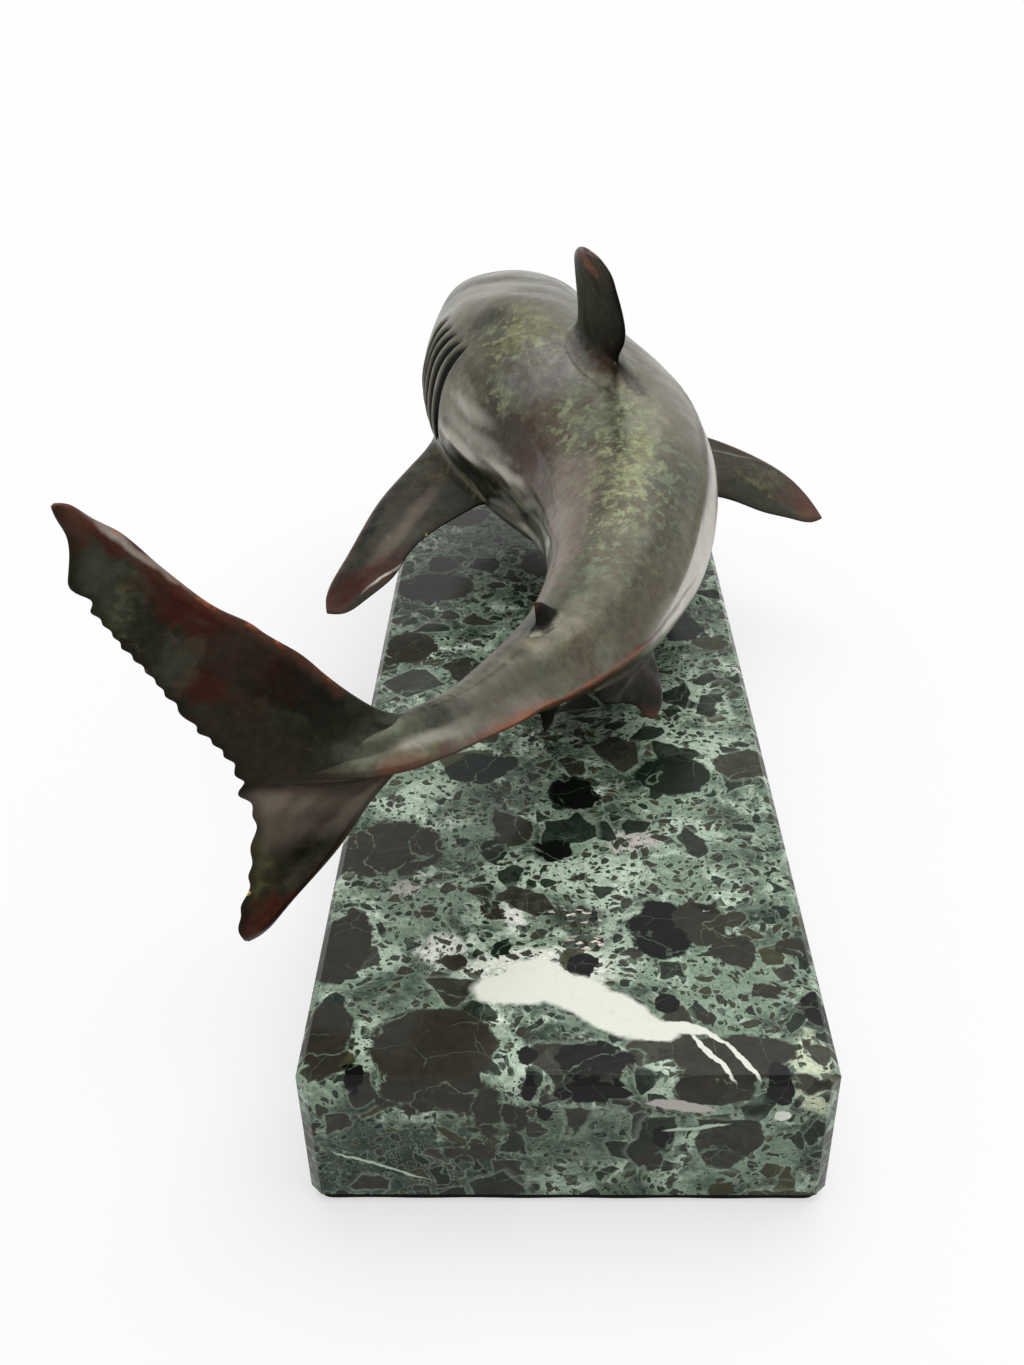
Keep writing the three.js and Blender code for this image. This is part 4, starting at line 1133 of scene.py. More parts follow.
# Painted glints along the fins' dark trailing edges
GOLD = rgb(214, 172, 104)
MAUVE = rgb(136, 120, 108)
PALE_MAUVE = rgb(158, 144, 128)
# Painted shade, laid where the bronze should look darker
SHADE = rgb(66, 66, 54)
# Painted highlights and reflections, laid where the bronze should look bright
PALE_SHEEN = rgb(196, 191, 180)
BLOOMS = (VERDIGRIS, PALE_GREEN, YELLOW_GREEN)

# Patches of the patina on the body: station, angle, half length along and around, colour, strength.
# Rows in SHADE are painted shade, not patina. They are laid in this order: back and left flank, rear
# of the right flank, left shoulder, left pectoral fin's foot with the painted shade of its root,
# start of the stalk, dorsal fin's foot, the back behind it, and last blooms
BACK_PATCHES = [
    (0.293, 58, 10, 7, SHADE, 0.95), (0.31, 33, 16, 4, SHADE, 0.5), (0.36, 52, 12, 3, SHADE, 0.5),
    (0.335, 66, 14, 10, YELLOW_GREEN, 0.8), (0.305, 44, 12, 8, YELLOW_GREEN, 0.35),
    (0.368, 40, 11, 4, VERDIGRIS, 0.9), (0.385, 62, 15, 13, PURPLE_GREY, 0.85),
    (0.42, 22, 24, 9, DARK_BROWN, 0.9), (0.50, 20, 18, 8, RED_BROWN, 0.55),
    (0.47, 45, 14, 8, RED_BROWN, 0.5), (0.47, 62, 12, 8, VERDIGRIS, 0.55),
    (0.51, 84, 14, 12, VERDIGRIS, 0.65), (0.546, 104, 8, 6, YELLOW_GREEN, 0.75),
    (0.575, 92, 16, 14, YELLOW_GREEN, 0.45), (0.64, 108, 18, 12, YELLOW_GREEN, 0.3),
    (0.72, 96, 16, 9, VERDIGRIS, 0.3), (0.58, 128, 26, 8, SHADE, 0.5), (0.56, 118, 14, 8, VERDIGRIS, 0.5),
    (0.60, 50, 34, 9, MAUVE, 0.7), (0.72, 60, 20, 6, MAUVE, 0.6), (0.74, 100, 26, 9, OLIVE_BROWN, 0.75),
]
REAR_FLANK_PATCHES = [
    (0.66, 112, 20, 8, OLIVE_BROWN, 0.4), (0.64, 148, 24, 8, OLIVE_BROWN, 0.6),
]
SHOULDER_PATCHES = [
    (0.315, 16, 16, 9, WARM_GREY, 0.5),
]
# Painted shade that the left pectoral fin's root casts on the body, in dark green, and a yellow-green line
PECTORAL_FOOT_SHADE_AND_BLOOM = [
    (0.33, -22, 16, 10, DARK_GREEN, 0.8), (0.385, -14, 22, 4.5, DARK_GREEN, 0.9),
    (0.41, -9, 14, 2.4, YELLOW_GREEN, 0.4),
]
STALK_START_PATCHES = [
    (0.70, 165, 22, 7, OLIVE_BROWN, 0.6), (0.79, 226, 20, 3.2, ORANGE_BROWN, 0.7),
    (0.83, 140, 20, 4, YELLOW_GREEN, 0.4), (0.80, 118, 16, 4, WARM_GREY, 0.35),
    (0.775, 78, 7, 4, DARK_GREEN, 0.7),
]
DORSAL_FOOT_PATCHES = [
    (0.46, 99, 5, 4, BLACK_BROWN, 0.7),
]
SADDLE_PATCHES = [
    (0.70, 118, 24, 9, SHADE, 0.4), (0.63, 122, 18, 8, SHADE, 0.3), (0.585, 92, 18, 13, PALE_GREEN, 0.5),
    (0.51, 82, 15, 12, PALE_GREEN, 0.42), (0.49, 56, 10, 6, PALE_GREEN, 0.5),
]
LAST_BLOOMS = [
    (0.645, 92, 16, 4, PALE_GREEN, 0.45), (0.725, 90, 14, 7, VERDIGRIS, 0.55),
    (0.366, 36, 7, 4, PALE_GREEN, 0.45), (0.335, 64, 13, 9, PALE_GREEN, 0.38),
    (0.65, 130, 22, 8, VERDIGRIS, 0.32), (0.565, 135, 18, 8, VERDIGRIS, 0.36),
]
# Along the stalk, on the tail's casting; its SHADE row is painted shade
STALK_PATCHES = [
    (0.90, 161, 26, 3.5, YELLOW_GREEN, 0.7), (0.97, 166, 14, 3.5, YELLOW_GREEN, 0.8),
    (0.90, 118, 30, 4.5, WARM_GREY, 0.7), (0.90, 196, 30, 7, MAUVE, 0.55),
    (0.93, 232, 40, 3.6, ORANGE_BROWN, 0.9), (0.99, 215, 18, 4, RED_BROWN, 0.7),
    (0.97, 140, 14, 4, SHADE, 0.7), (0.985, 126, 11, 3, DARK_GREEN, 0.8),
]
# Painted highlights and reflections where the body should look bright, laid in the same way: pale
# sheen along creases, on the head and in a band down the right flank, and pale mauve and warm grey
BODY_SHEENS = [
    (0.44, -25, 22, 2.2, PALE_SHEEN, 0.9), (0.575, 7, 13, 1.2, PALE_SHEEN, 0.9),
    (0.33, -3, 12, 2.4, PALE_SHEEN, 0.6), (0.41, 3, 14, 1.8, PALE_SHEEN, 0.6),
    (0.335, 19, 10, 2.0, PALE_SHEEN, 0.4), (0.235, 60, 9, 14, PALE_SHEEN, 0.35),
    (0.655, 38, 24, 5, PALE_MAUVE, 0.45), (0.50, 165, 18, 3.5, PALE_SHEEN, 0.6),
    (0.56, 173, 16, 4.5, PALE_SHEEN, 0.8), (0.61, 185, 15, 5.5, PALE_SHEEN, 0.9),
    (0.665, 199, 14, 6, PALE_SHEEN, 0.8), (0.47, 122, 26, 9, WARM_GREY, 0.4),
    (0.355, 8, 14, 2.5, PALE_SHEEN, 0.3),
]
# Smooth marks along the stalk, laid on the body and the tail: the reddish line along its right
# side, a painted highlight above it and painted shade on its upper sides
STALK_SHEENS = [
    (0.655, 190, 12, 0.7, RED_BROWN, 0.7), (0.70, 192, 12, 0.8, RED_BROWN, 0.8),
    (0.74, 196, 12, 0.9, ORANGE_BROWN, 0.6), (0.78, 200, 12, 1.0, ORANGE_BROWN, 0.8),
    (0.82, 201, 13, 1.2, ORANGE_BROWN, 0.85), (0.87, 200, 13, 1.3, ORANGE_BROWN, 0.9),
    (0.92, 200, 13, 1.4, ORANGE_BROWN, 0.9), (0.965, 201, 11, 1.6, RED_BROWN, 0.9),
    (0.99, 208, 12, 2.4, RED_BROWN, 0.8), (0.975, 176, 10, 1.1, PALE_SHEEN, 0.45),
    (0.88, 168, 26, 4.5, SHADE, 0.4), (0.86, 150, 30, 4, SHADE, 0.5), (0.765, 101, 10, 5, SHADE, 0.35),
]
# On the tail fin: behind, height, half length and half width, turn in degrees, colour, strength
TAIL_PATCHES = [
    (33, 35, 6, 7, 0, DULL_RED, 0.65), (33.5, 22.5, 7, 4.5, 0, DULL_RED, 0.65),
    (46, 36, 3, 10, 20, YELLOW_GREEN, 0.4), (45, 44, 6, 9, 0, GREY_GREEN, 0.5),
    (17, 16, 15, 5, 45, BLACK_BROWN, 0.75), (4, 3, 13, 5, 0, GREY_GREEN, 0.7),
    (10, 8, 8, 4, 30, DARK_GREEN, 0.6), (26, -20, 7, 8, 0, OLIVE_BROWN, 0.5),
    (30, -24, 3, 9, 0, YELLOW_GREEN, 0.35), (28, -33, 8, 6, 0, DULL_RED, 0.85),
    (12, -5, 18, 1.8, 11, RED_BROWN, 0.8), (38, 47, 16, 3, 50, DULL_RED, 0.8),
    (30, 30, 20, 3.5, 50, DULL_RED, 0.5), (26, 26, 6, 7, 0, DARK_BROWN, 0.6),
    (29, 4, 10, 9, 0, DARK_BROWN, 0.7), (50, 56, 4, 4, 0, RED_BROWN, 0.9),
    (38, 27, 5, 8, 30, GREY_GREEN, 0.4),
]
# Smooth marks on the tail fin: a painted highlight on the rolled leading edge, and mauve and green stains
TAIL_SHEENS = [
    (41.3, 49.6, 11, 0.55, 51, PALE_SHEEN, 0.95), (18, -9.5, 15, 5.5, 0, MAUVE, 0.42),
    (24, -6, 9, 2.6, 11, PALE_MAUVE, 0.3), (30, -18, 3, 9, 0, YELLOW_GREEN, 0.2),
]
# On the fins: distance out, distance back, and the same again
FIN_PATCHES = {
    "left_pectoral_fin": [
        (42, 14, 16, 4.5, 15, RED_BROWN, 1.0), (50, 13, 9, 5, 20, DULL_RED, 0.6),
        (22, -4, 18, 5, 25, WARM_GREY, 0.2), (5, -16, 10, 7, 0, YELLOW_GREEN, 0.5),
        (8, 0, 8, 9, 0, DARK_GREEN, 0.8), (30, -8, 14, 3, 38, BLACK_BROWN, 0.6),
        (0, -4, 16, 1.2, 80, YELLOW_GREEN, 0.7),
    ],
    "right_pectoral_fin": [
        (30, 20, 9, 8, 50, YELLOW_GREEN, 0.35), (36, 10, 14, 3, 65, RED_BROWN, 0.7),
        (38, 32, 8, 6, 70, RED_BROWN, 0.6), (24, 24, 12, 4, 55, DARK_GREEN, 0.6),
    ],
    "dorsal_fin": [
        (16, -6, 14, 12, 0, DARK_GREEN, 0.7), (33, 2, 4.5, 9, 0, COPPER, 0.75),
        (27, 3, 4, 12, 0, BLACK_BROWN, 0.8),
    ],
    "second_dorsal_fin": [
        # Painted shade: black on the small fin's shaded side
        (2, 4, 6, 3, 0, BLACK, 0.8),
    ],
}
# Painted highlights on the pectoral fins: pale and mauve streaks on the left one, a warm grey line on the
# right
FIN_SHEENS = {
    "left_pectoral_fin": [
        (36, 15.2, 8, 0.45, 14, PALE_SHEEN, 0.5), (24, 2, 16, 2.5, 25, MAUVE, 0.2),
    ],
    "right_pectoral_fin": [
        (30, 9, 12, 0.4, 35, WARM_GREY, 0.25),
    ],
}
# How far a patch reaches in and out of the surface: on the body by its half width around, and on
# a fin and the tail fin
PATCH_DEPTH_SHARE = 0.6
PATCH_LEAST_DEPTH = 3
FIN_PATCH_DEPTH = 14
TAIL_PATCH_DEPTH = 12


def body_patch(station, angle, along, around, shade, strength):
    """A patch on the body's surface, with its axes along the body, around it and outwards."""
    turn = math.radians(angle)
    centre = body_point(station, turn)
    forward, _, _ = body_frame(station)
    outwards = outward_at(station, turn)
    sideways = unit(np.cross(outwards, forward))
    axes = np.array([np.cross(sideways, outwards), sideways, outwards])
    depth = PATCH_DEPTH_SHARE * around + PATCH_LEAST_DEPTH
    return centre, axes, (along, around, depth), shade, strength


def body_patches(*tables):
    """The patches of several tables of the body, one after another."""
    return [body_patch(*row) for table in tables for row in table]


def turned_axes(first, second, turn):
    """Two directions turned in their own plane by an angle in degrees, and the one square to them."""
    turn = math.radians(turn)
    along = first * math.cos(turn) + second * math.sin(turn)
    return np.array([along, np.cross(np.cross(first, second), along), np.cross(first, second)])


def tail_patches(table):
    """Patches in the tail fin's plane."""
    root, back, _ = tail_directions()
    found = []
    for behind, height, along, tall, turn, shade, strength in table:
        centre = root + back * behind + UP * height
        radii = (along, tall, TAIL_PATCH_DEPTH)
        found.append((centre, turned_axes(back, UP, turn), radii, shade, strength))
    return found


def fin_patches(table, *names):
    """Patches in the planes of these fins, their length turned from the way out towards the way
    back."""
    found = []
    for name in names:
        root, out, back, _ = fin_frame(FINS[name])
        for distance, behind, along, wide, turn, shade, strength in table[name]:
            centre = root + out * distance + back * behind
            radii = (along, wide, FIN_PATCH_DEPTH)
            found.append((centre, turned_axes(out, back, turn), radii, shade, strength))
    return found


def patina(shading, coords):
    """The waxed patina: slow clouds between dark brown and olive, a green bloom, brushed swirls of
    warm grey and reddish stains. Gives the colour of the pale skin, that of the dark fins, and the
    noise that the gloss follows."""
    swirl = shading.warped(coords, 0.06, 7)
    clouds = shading.noise(swirl, 0.05, 6.0, 0.65)
    brushed = shading.noise(shading.warped(coords, 0.15, 2), 0.12, 7.0, 0.62, 0.4)
    bloom = shading.noise(shading.vector("ADD", swirl, (17.0, 3.0, 29.0)), 0.15, 8.0, 0.7)
    lichen = shading.noise(shading.warped(coords, 0.2, 1.5), 0.3, 6.0, 0.62, 0.3)
    branches = shading.smooth((lichen - 0.5).away(), 0.0, 0.035, 1.0, 0.0)
    branches = branches * shading.smooth(bloom, 0.44, 0.6)
    red = shading.noise(shading.vector("ADD", coords, (31.0, 17.0, 5.0)), 0.06, 7.0, 0.68)
    pale = shading.mix(shading.smooth(clouds, 0.4, 0.66), OLIVE_BROWN, OLIVE)
    pale = shading.mix(shading.smooth(brushed, 0.5, 0.74) * 0.45, pale, WARM_GREY)
    pale = shading.mix(shading.smooth(bloom, 0.52, 0.66) * 0.4, pale, VERDIGRIS)
    pale = shading.mix(shading.smooth(red, 0.55, 0.7) * 0.5, pale, RED_BROWN)
    pale = shading.mix(branches * 0.3, pale, PALE_GREEN)
    dark = shading.mix(shading.smooth(clouds, 0.35, 0.6), BLACK_BROWN, DARK_GREEN)
    dark = shading.mix(shading.smooth(brushed, 0.48, 0.74) * 0.4, dark, DARK_BROWN)
    dark = shading.mix(shading.smooth(bloom, 0.54, 0.68) * 0.3, dark, GREY_GREEN)
    dark = shading.mix(shading.smooth(red, 0.5, 0.66) * 0.6, dark, RED_BROWN)
    return pale, dark, brushed


def stains(shading, coords, colour, patches):
    """Lay patches over a colour, each one (centre, axes, radii, colour, strength). Soft branching
    noise eats into a stain, and a strength is its depth. Green bloom lies in crisp flecks, and a
    strength is how much they cover. Gives the colour, and the bloom, which is matt."""
    bloom = 0.0
    if not patches:
        return colour, bloom
    ragged = shading.warped(shading.warped(coords, 0.09, 4), 0.4, 0.8)
    fleck = shading.noise(shading.warped(coords, 0.4, 0.8), 0.24, 8.0, 0.7, 0.3)
    thick = shading.smooth(fleck, 0.36, 0.62, 0.3, 0.78)
    crumbs = (shading.noise(shading.warped(coords, 0.5, 0.7), 0.36, 8.0, 0.68, 0.3) - 0.5) * 4.5
    for centre, axes, radii, shade, strength in patches:
        mask = shading.patch(ragged, centre, axes, radii, 0.75)
        fade = mask.math("MULTIPLY", 1.6, clamp=True)
        if shade in BLOOMS:
            eaten = shading.smooth(mask * strength + crumbs, 0.3, 0.7) * fade * thick
            colour = shading.mix(eaten, colour, shade)
            bloom = eaten.high(bloom)
        else:
            eaten = shading.smooth(mask + (fleck - 0.5) * 2.6, 0.3, 0.85) * fade
            colour = shading.mix(eaten * strength, colour, shade)
    return colour, bloom


def sheens(shading, coords, colour, patches):
    """Lay smooth patches over a colour: painted highlights, reflections and shade, and smooth stains."""
    bent = shading.warped(coords, 0.08, 2)
    for centre, axes, radii, shade, strength in patches:
        mask = shading.patch(bent, centre, axes, radii, 0.7)
        colour = shading.mix(mask * strength, colour, shade)
    return colour


def rims(shading, coords, colour, metal, rough, skin):
    """Wear on a fin: reddish leading edge and tip, worn to copper in places, and a dark trailing
    edge, with a few painted gold glints on it as highlights. The edges come from the mesh's
    attributes, in millimetres."""
    wear = shading.noise(coords, 0.2, 6.0, 0.68)
    front, rear, tip = (shading.attribute(name) for name in ("front", "rear", "tip"))
    blade = 1 - skin
    edge = shading.smooth(front + wear * 5, 2.2, 6.0, 1.0, 0.0)
    edge = edge.high(shading.smooth(tip + wear * 9, 6, 14, 1.0, 0.0)) * blade
    colour = shading.mix(edge * 0.7, colour, RED_BROWN)
    dark = shading.smooth(rear + wear * 3, 1.6, 4.4, 1.0, 0.0) * blade
    colour = shading.mix(dark * 0.65, colour, BLACK_BROWN)
    bright = shading.smooth(front + wear * 1.5, 0.8, 2.0, 1.0, 0.0) * shading.smooth(wear, 0.5, 0.62)
    bright = bright * blade
    colour = shading.mix(bright * 0.8, colour, COPPER)
    # Painted highlights: gold glints along the dark trailing edge, which also raise the metal there
    glint = shading.smooth(rear, 0.25, 0.7, 1.0, 0.0) * shading.smooth(wear, 0.62, 0.68) * blade
    colour = shading.mix(glint, colour, GOLD)
    return colour, metal.high(glint.high(bright * 0.9)), rough - bright * 0.12


# How far a bronze is darkened: the body's level, and those of the fins, which are blacker
BODY_LEVEL = 0.84
SMALL_FIN_LEVEL = 0.27
PECTORAL_LEVEL = 0.38
TAIL_LEVEL = 0.5
WAX_ROUGHNESS = 0.16


def bronze(name, tone, patches=(), painted_sheens_and_marks=(), level=BODY_LEVEL, worn=False, grooved=False):
    """Cast bronze under a waxed patina, from dark (tone 0) to pale (1), darkened to the level. A
    worn piece turns pale like the body, and to the body's level, where its skin attribute says
    that it runs into it. Its relief is slow waves under a mottle with sown casting pits."""
    made, shading = material(name)
    coords = shading.millimetres()
    pale, dark, brushed = patina(shading, coords)
    skin = shading.attribute("skin") if worn else 0.0
    paleness = skin * (1 - tone) + tone
    colour = shading.mix(paleness, dark, pale)
    colour, bloom = stains(shading, coords, colour, patches)
    mottle = shading.noise(shading.warped(coords, 0.5, 0.5), 0.45, 6.0, 0.62, 0.2)
    colour = shading.scaled(colour, shading.smooth(mottle, 0.36, 0.64, 0.84, 1.16))
    colour = shading.scaled(colour, skin * (BODY_LEVEL - level) + level)
    # Painted highlights, reflections and shade, and smooth stains, laid after the level
    colour = sheens(shading, coords, colour, painted_sheens_and_marks)
    metal = shading.smooth(brushed, 0.3, 0.8, 0.75, 0.6)
    rough = shading.smooth(brushed, 0.3, 0.7, 0.3, 0.42) + bloom * 0.18
    if worn:
        colour, metal, rough = rims(shading, coords, colour, metal, rough, skin)
    if grooved:
        # Painted shade: the grooves of the gills, mouth, eye rings, nostrils and plug rings darkened
        # towards black
        groove = shading.attribute("groove")
        colour = shading.mix(shading.smooth(groove, 0.05, 0.7), colour, BLACK)
        rough = rough + groove * 0.3
    pits = shading.smooth(shading.cells(coords, 0.8), 0.02, 0.17)
    sown = shading.smooth(shading.noise(coords, 0.35, 3.0), 0.5, 0.6)
    pits = 1 - (1 - pits) * sown
    colour = shading.mix((1 - pits) * 0.55, colour, BLACK_BROWN)
    waves = shading.noise(coords, 0.12, 1.0, 0.4)
    relief = shading.bump(waves, SLOW_WAVE_DEPTH)
    relief = shading.bump(mottle + pits * 0.6, MOTTLE_DEPTH, under=relief)
    coat = shading.smooth(brushed, 0.3, 0.75, 0.36, 0.18) * (paleness * 0.92 + 0.08) * (1 - bloom * 0.7)
    surface(shading, {
        "Base Color": colour, "Metallic": metal, "Roughness": rough, "Normal": relief,
        "Coat Weight": coat, "Coat Roughness": WAX_ROUGHNESS, "Specular IOR Level": 0.15 * tone + 0.03,
    })
    return made


# Marble: clasts of all sizes in a green matrix, with white veins and a few features of this slab
MINT = rgb(126, 148, 126)
SEA_GREEN = rgb(68, 86, 71)
DEEP_GREEN = rgb(36, 50, 40)
PALE_MINT = rgb(184, 204, 182)
CLAST_GREEN = rgb(22, 33, 24)
CLAST_OLIVE = rgb(60, 58, 34)
CLAST_BROWN = rgb(50, 48, 40)
CLAST_BLACK = rgb(15, 18, 15)
WHITE_VEIN = rgb(232, 234, 222)
PINK_WHITE = rgb(190, 184, 178)
CREAM = rgb(222, 212, 194)
PALE_CREAM = rgb(206, 216, 184)

# Rounded clasts: cells to the millimetre, share of the cells kept, least and greatest radius in cells
BEAD_SIZES = [(1.25, 0.6, 0.1, 0.38), (0.62, 0.62, 0.14, 0.46), (0.36, 0.5, 0.16, 0.44)]
# Angular ones: cells to the millimetre, share kept, least and greatest gap round one in cells
CLAST_SIZES = [
    (0.5, 0.4, 0.1, 0.3), (0.27, 0.45, 0.08, 0.3), (0.15, 0.42, 0.07, 0.26), (0.075, 0.26, 0.06, 0.2),
]
# Large clasts of the top: x, y, half length, half width, turn in degrees, colour
TOP_CLASTS = [
    (-24.8, -141, 12.4, 9.4, -5, CLAST_BROWN), (-45.2, -115, 5.9, 10.6, -12, CLAST_BROWN),
    (-39, -83, 12.5, 9.5, 8, CLAST_BROWN), (-45, -140, 4.6, 9, 0, CLAST_BROWN),
    (-2, -83.5, 4.2, 3.6, 0, CLAST_BLACK), (-15.5, -84, 2.8, 4.4, 10, CLAST_GREEN),
    (2.6, -61.8, 6, 7, 20, CLAST_BLACK), (19.8, -109.6, 6.6, 9.2, 0, CLAST_BLACK),
    (28.4, -108.3, 5.2, 7, 10, CLAST_BROWN), (34.2, -116.6, 4.4, 4.8, 0, CLAST_BROWN),
    (3.7, -119.9, 2.9, 3.1, 0, CLAST_BLACK), (30.9, -144, 10.8, 5.4, 4, CLAST_BROWN),
    (4.9, -145, 7.4, 4, 0, CLAST_BLACK), (-20.2, -51.6, 8, 6, 10, CLAST_GREEN),
    (48, -132.3, 2.9, 4.4, 0, CLAST_BLACK), (46.5, -115.2, 3.2, 2.3, 0, CLAST_BROWN),
    (27.5, -54.9, 9, 8, 10, CLAST_GREEN), (-37.4, 44.8, 12, 9, 0, CLAST_BROWN),
    (-41.4, 8, 7, 9, 0, CLAST_BROWN), (-15.2, -104, 2.5, 2.8, 0, CLAST_BROWN),
    (-12.6, -115.2, 2, 2, 0, CLAST_GREEN), (-21.9, -119.4, 2.5, 2.5, 0, CLAST_BROWN),
    (-27.7, -103.4, 1.7, 2.2, 0, CLAST_BROWN), (39.2, -127.3, 2.3, 2.5, 0, CLAST_BROWN),
    (26.9, -135, 1.8, 1.8, 0, CLAST_BROWN), (19.8, -131, 2.2, 2.4, 0, CLAST_BLACK),
    (-7.8, -138.6, 1.5, 1.5, 0, CLAST_BROWN), (-7.5, -144.2, 2, 2.4, 0, CLAST_BLACK),
    (-39.1, -148, 2.4, 2.4, 0, CLAST_BLACK), (30, 90, 10, 7, -20, CLAST_BROWN),
    (-30, 96, 9, 6, 40, CLAST_BROWN), (4, 122, 11, 7, 0, CLAST_GREEN), (33, 20, 8, 10, 30, CLAST_GREEN),
    (-4, 60, 7, 9, 0, CLAST_BROWN),
]
# Pale clouds of the top that lie under the clasts, laid out in the same way
TOP_CLOUDS = [
    (-24.5, -115.6, 5.5, 4.6, 10, WHITE_VEIN), (-36.6, -118.3, 4.5, 4, 0, PALE_MINT),
    (-37.5, -140.8, 3.2, 7, 0, PALE_MINT), (-7.8, -145.8, 6, 5, 0, PALE_MINT),
    (16.8, -146, 3.6, 7, 0, PALE_MINT), (44.9, -146, 3.8, 8, 0, PALE_CREAM),
    (-10.2, -104.5, 2.4, 7, 10, WHITE_VEIN), (-33.5, -96.4, 4.5, 3, 20, PINK_WHITE),
    (15.3, -80.4, 6.5, 3.6, 8, PINK_WHITE), (8, -116, 8, 5, 0, PALE_MINT), (9, -102, 4, 8, 10, PALE_MINT),
    (-12, -120, 12, 5, 20, PALE_MINT), (36, -122, 10, 7, 20, MINT), (30, -131, 12, 4, 0, MINT),
    (-6, -121, 16, 6, 0, WHITE_VEIN), (-32, -60, 8, 4, 30, PALE_MINT), (30, -76, 7, 3.5, -25, PALE_MINT),
    (38, -20, 6, 14, 10, PALE_MINT), (-24, -98, 12, 3.5, 30, MINT), (0, -92, 20, 6, 10, PALE_MINT),
    (34, -44, 11, 9, 0, PALE_MINT), (20, -34, 10, 8, 0, PALE_MINT), (-36, -66, 8, 5, 0, PALE_MINT),
]
# Dark crystals with cream needles
TOP_GLINTS = [
    (2.7, -105.7, 7, 3.6, 0, CREAM), (4.7, -113.6, 5, 2.2, 0, CREAM),
    (30, -103.5, 2.2, 1.2, -20, WHITE_VEIN),
]
# White bodies and veins of the top
TOP_WHITES = [
    (-9.5, -126.6, 8.8, 4.4, 3, WHITE_VEIN), (-6.2, -122.6, 5.8, 4.6, -8, WHITE_VEIN),
    (1.5, -127.6, 9.2, 5, -20, WHITE_VEIN), (9, -133, 9.6, 5.2, -32, WHITE_VEIN),
    (15.5, -137, 6.2, 3.2, -15, WHITE_VEIN), (22.2, -137, 5, 1.5, -12, WHITE_VEIN),
    (27.3, -138.7, 4, 0.6, -42, WHITE_VEIN), (26.8, -144.1, 6.4, 0.55, -58, WHITE_VEIN),
    (32.4, -145, 5.4, 0.55, -58, WHITE_VEIN), (15, 66, 12, 3, 30, WHITE_VEIN),
    (-20, 108, 9, 2.4, -40, PALE_MINT),
]
# The front face's clasts, clouds and whites, by x and z
FRONT_CLASTS = [
    (-24.2, 30, 11.9, 4.6, 0, CLAST_BROWN), (-12.9, 23.3, 5.7, 4.8, 15, CLAST_BROWN),
    (-18.7, 14.6, 5.4, 2.7, 0, CLAST_BROWN), (17.8, 18.6, 2.1, 2.8, 0, CLAST_BLACK),
    (-4.2, 25.6, 1.4, 1.6, 0, CLAST_BLACK), (29.4, 3.6, 1.9, 2.2, 0, CLAST_OLIVE),
    (15.7, 12.7, 2.6, 3, 0, CLAST_BROWN), (-7.1, 31.6, 1.5, 2.6, 0, CLAST_BLACK),
    (24.2, 31.1, 4.4, 3.9, 0, CLAST_BROWN), (39.1, 31.4, 2.4, 3.4, 0, CLAST_BLACK),
    (5, 31, 7, 2.6, 0, CLAST_BLACK),
]
FRONT_CLOUDS = [
    (-30, 12, 26, 13, 0, DEEP_GREEN), (4, 20, 18, 8, 0, SEA_GREEN), (-11.3, 32.9, 3.2, 3.4, 0, PALE_MINT),
    (17.1, 33, 3, 3.4, 0, PALE_MINT), (44.7, 31, 3.3, 5.5, 10, PALE_CREAM),
    (19, 16, 12, 1.5, 32, PALE_MINT), (21.5, 12, 9, 1.1, 65, PALE_MINT), (36, 12, 10, 5, 30, MINT),
    (0, 5, 5, 2, 0, PALE_MINT),
]
FRONT_WHITES = [
    (20.7, 27.2, 6.4, 1.3, -11, PINK_WHITE), (39.5, 24.7, 1.6, 1.3, 0, WHITE_VEIN),
    (-36, 11, 10, 0.35, -24, PALE_MINT), (24, 21.6, 6, 0.5, 12, PALE_MINT),
]
SPOT_DEPTH = 7
CLAST_EDGE = 0.05
WHITE_EDGE = 0.13


def spots(top_rows, front_rows=()):
    """Spots of the slab's top and front face from rows of two places in the face, two half sizes
    and a turn: centre, axes, radii and colour."""
    found = []
    for across, along, long, wide, turn, shade in top_rows:
        rotation = Matrix.Rotation(math.radians(turn), 3, "Z")
        found.append(((across, along, SLAB_TOP), np.array(rotation).T, (long, wide, SPOT_DEPTH), shade))
    for across, height, long, wide, turn, shade in front_rows:
        rotation = Matrix.Rotation(-math.radians(turn), 3, "Y")
        centre = (across, float(slab_low[1]), height)
        found.append((centre, np.array(rotation).T, (long, SPOT_DEPTH, wide), shade))
    return found


def clasts(shading, coords, scale, share, least, greatest, rounded):
    """Clasts of one size, one to a cell, each kept or left out by its own random value. Angular
    ones are drawn in from the cell's edge by a gap and rounded ones lie about its middle, and
    another random value sets the size. Gives their mask, a pale halo and a tint."""
    random = shading.cells(coords, scale, output=1)
    outputs = shading.node("SeparateColor", {}, {0: random}).socket.node.outputs
    kept, second, third = (Wire(shading, output) for output in outputs)
    size = second * (greatest - least) + least
    if rounded:
        inside = size - shading.cells(coords, scale)
    else:
        inside = shading.cells(coords, scale, "DISTANCE_TO_EDGE") - size
    kept = kept.math("LESS_THAN", share)
    return shading.smooth(inside, 0.0, 0.03) * kept, shading.smooth(inside, -0.1, 0.0) * kept, third


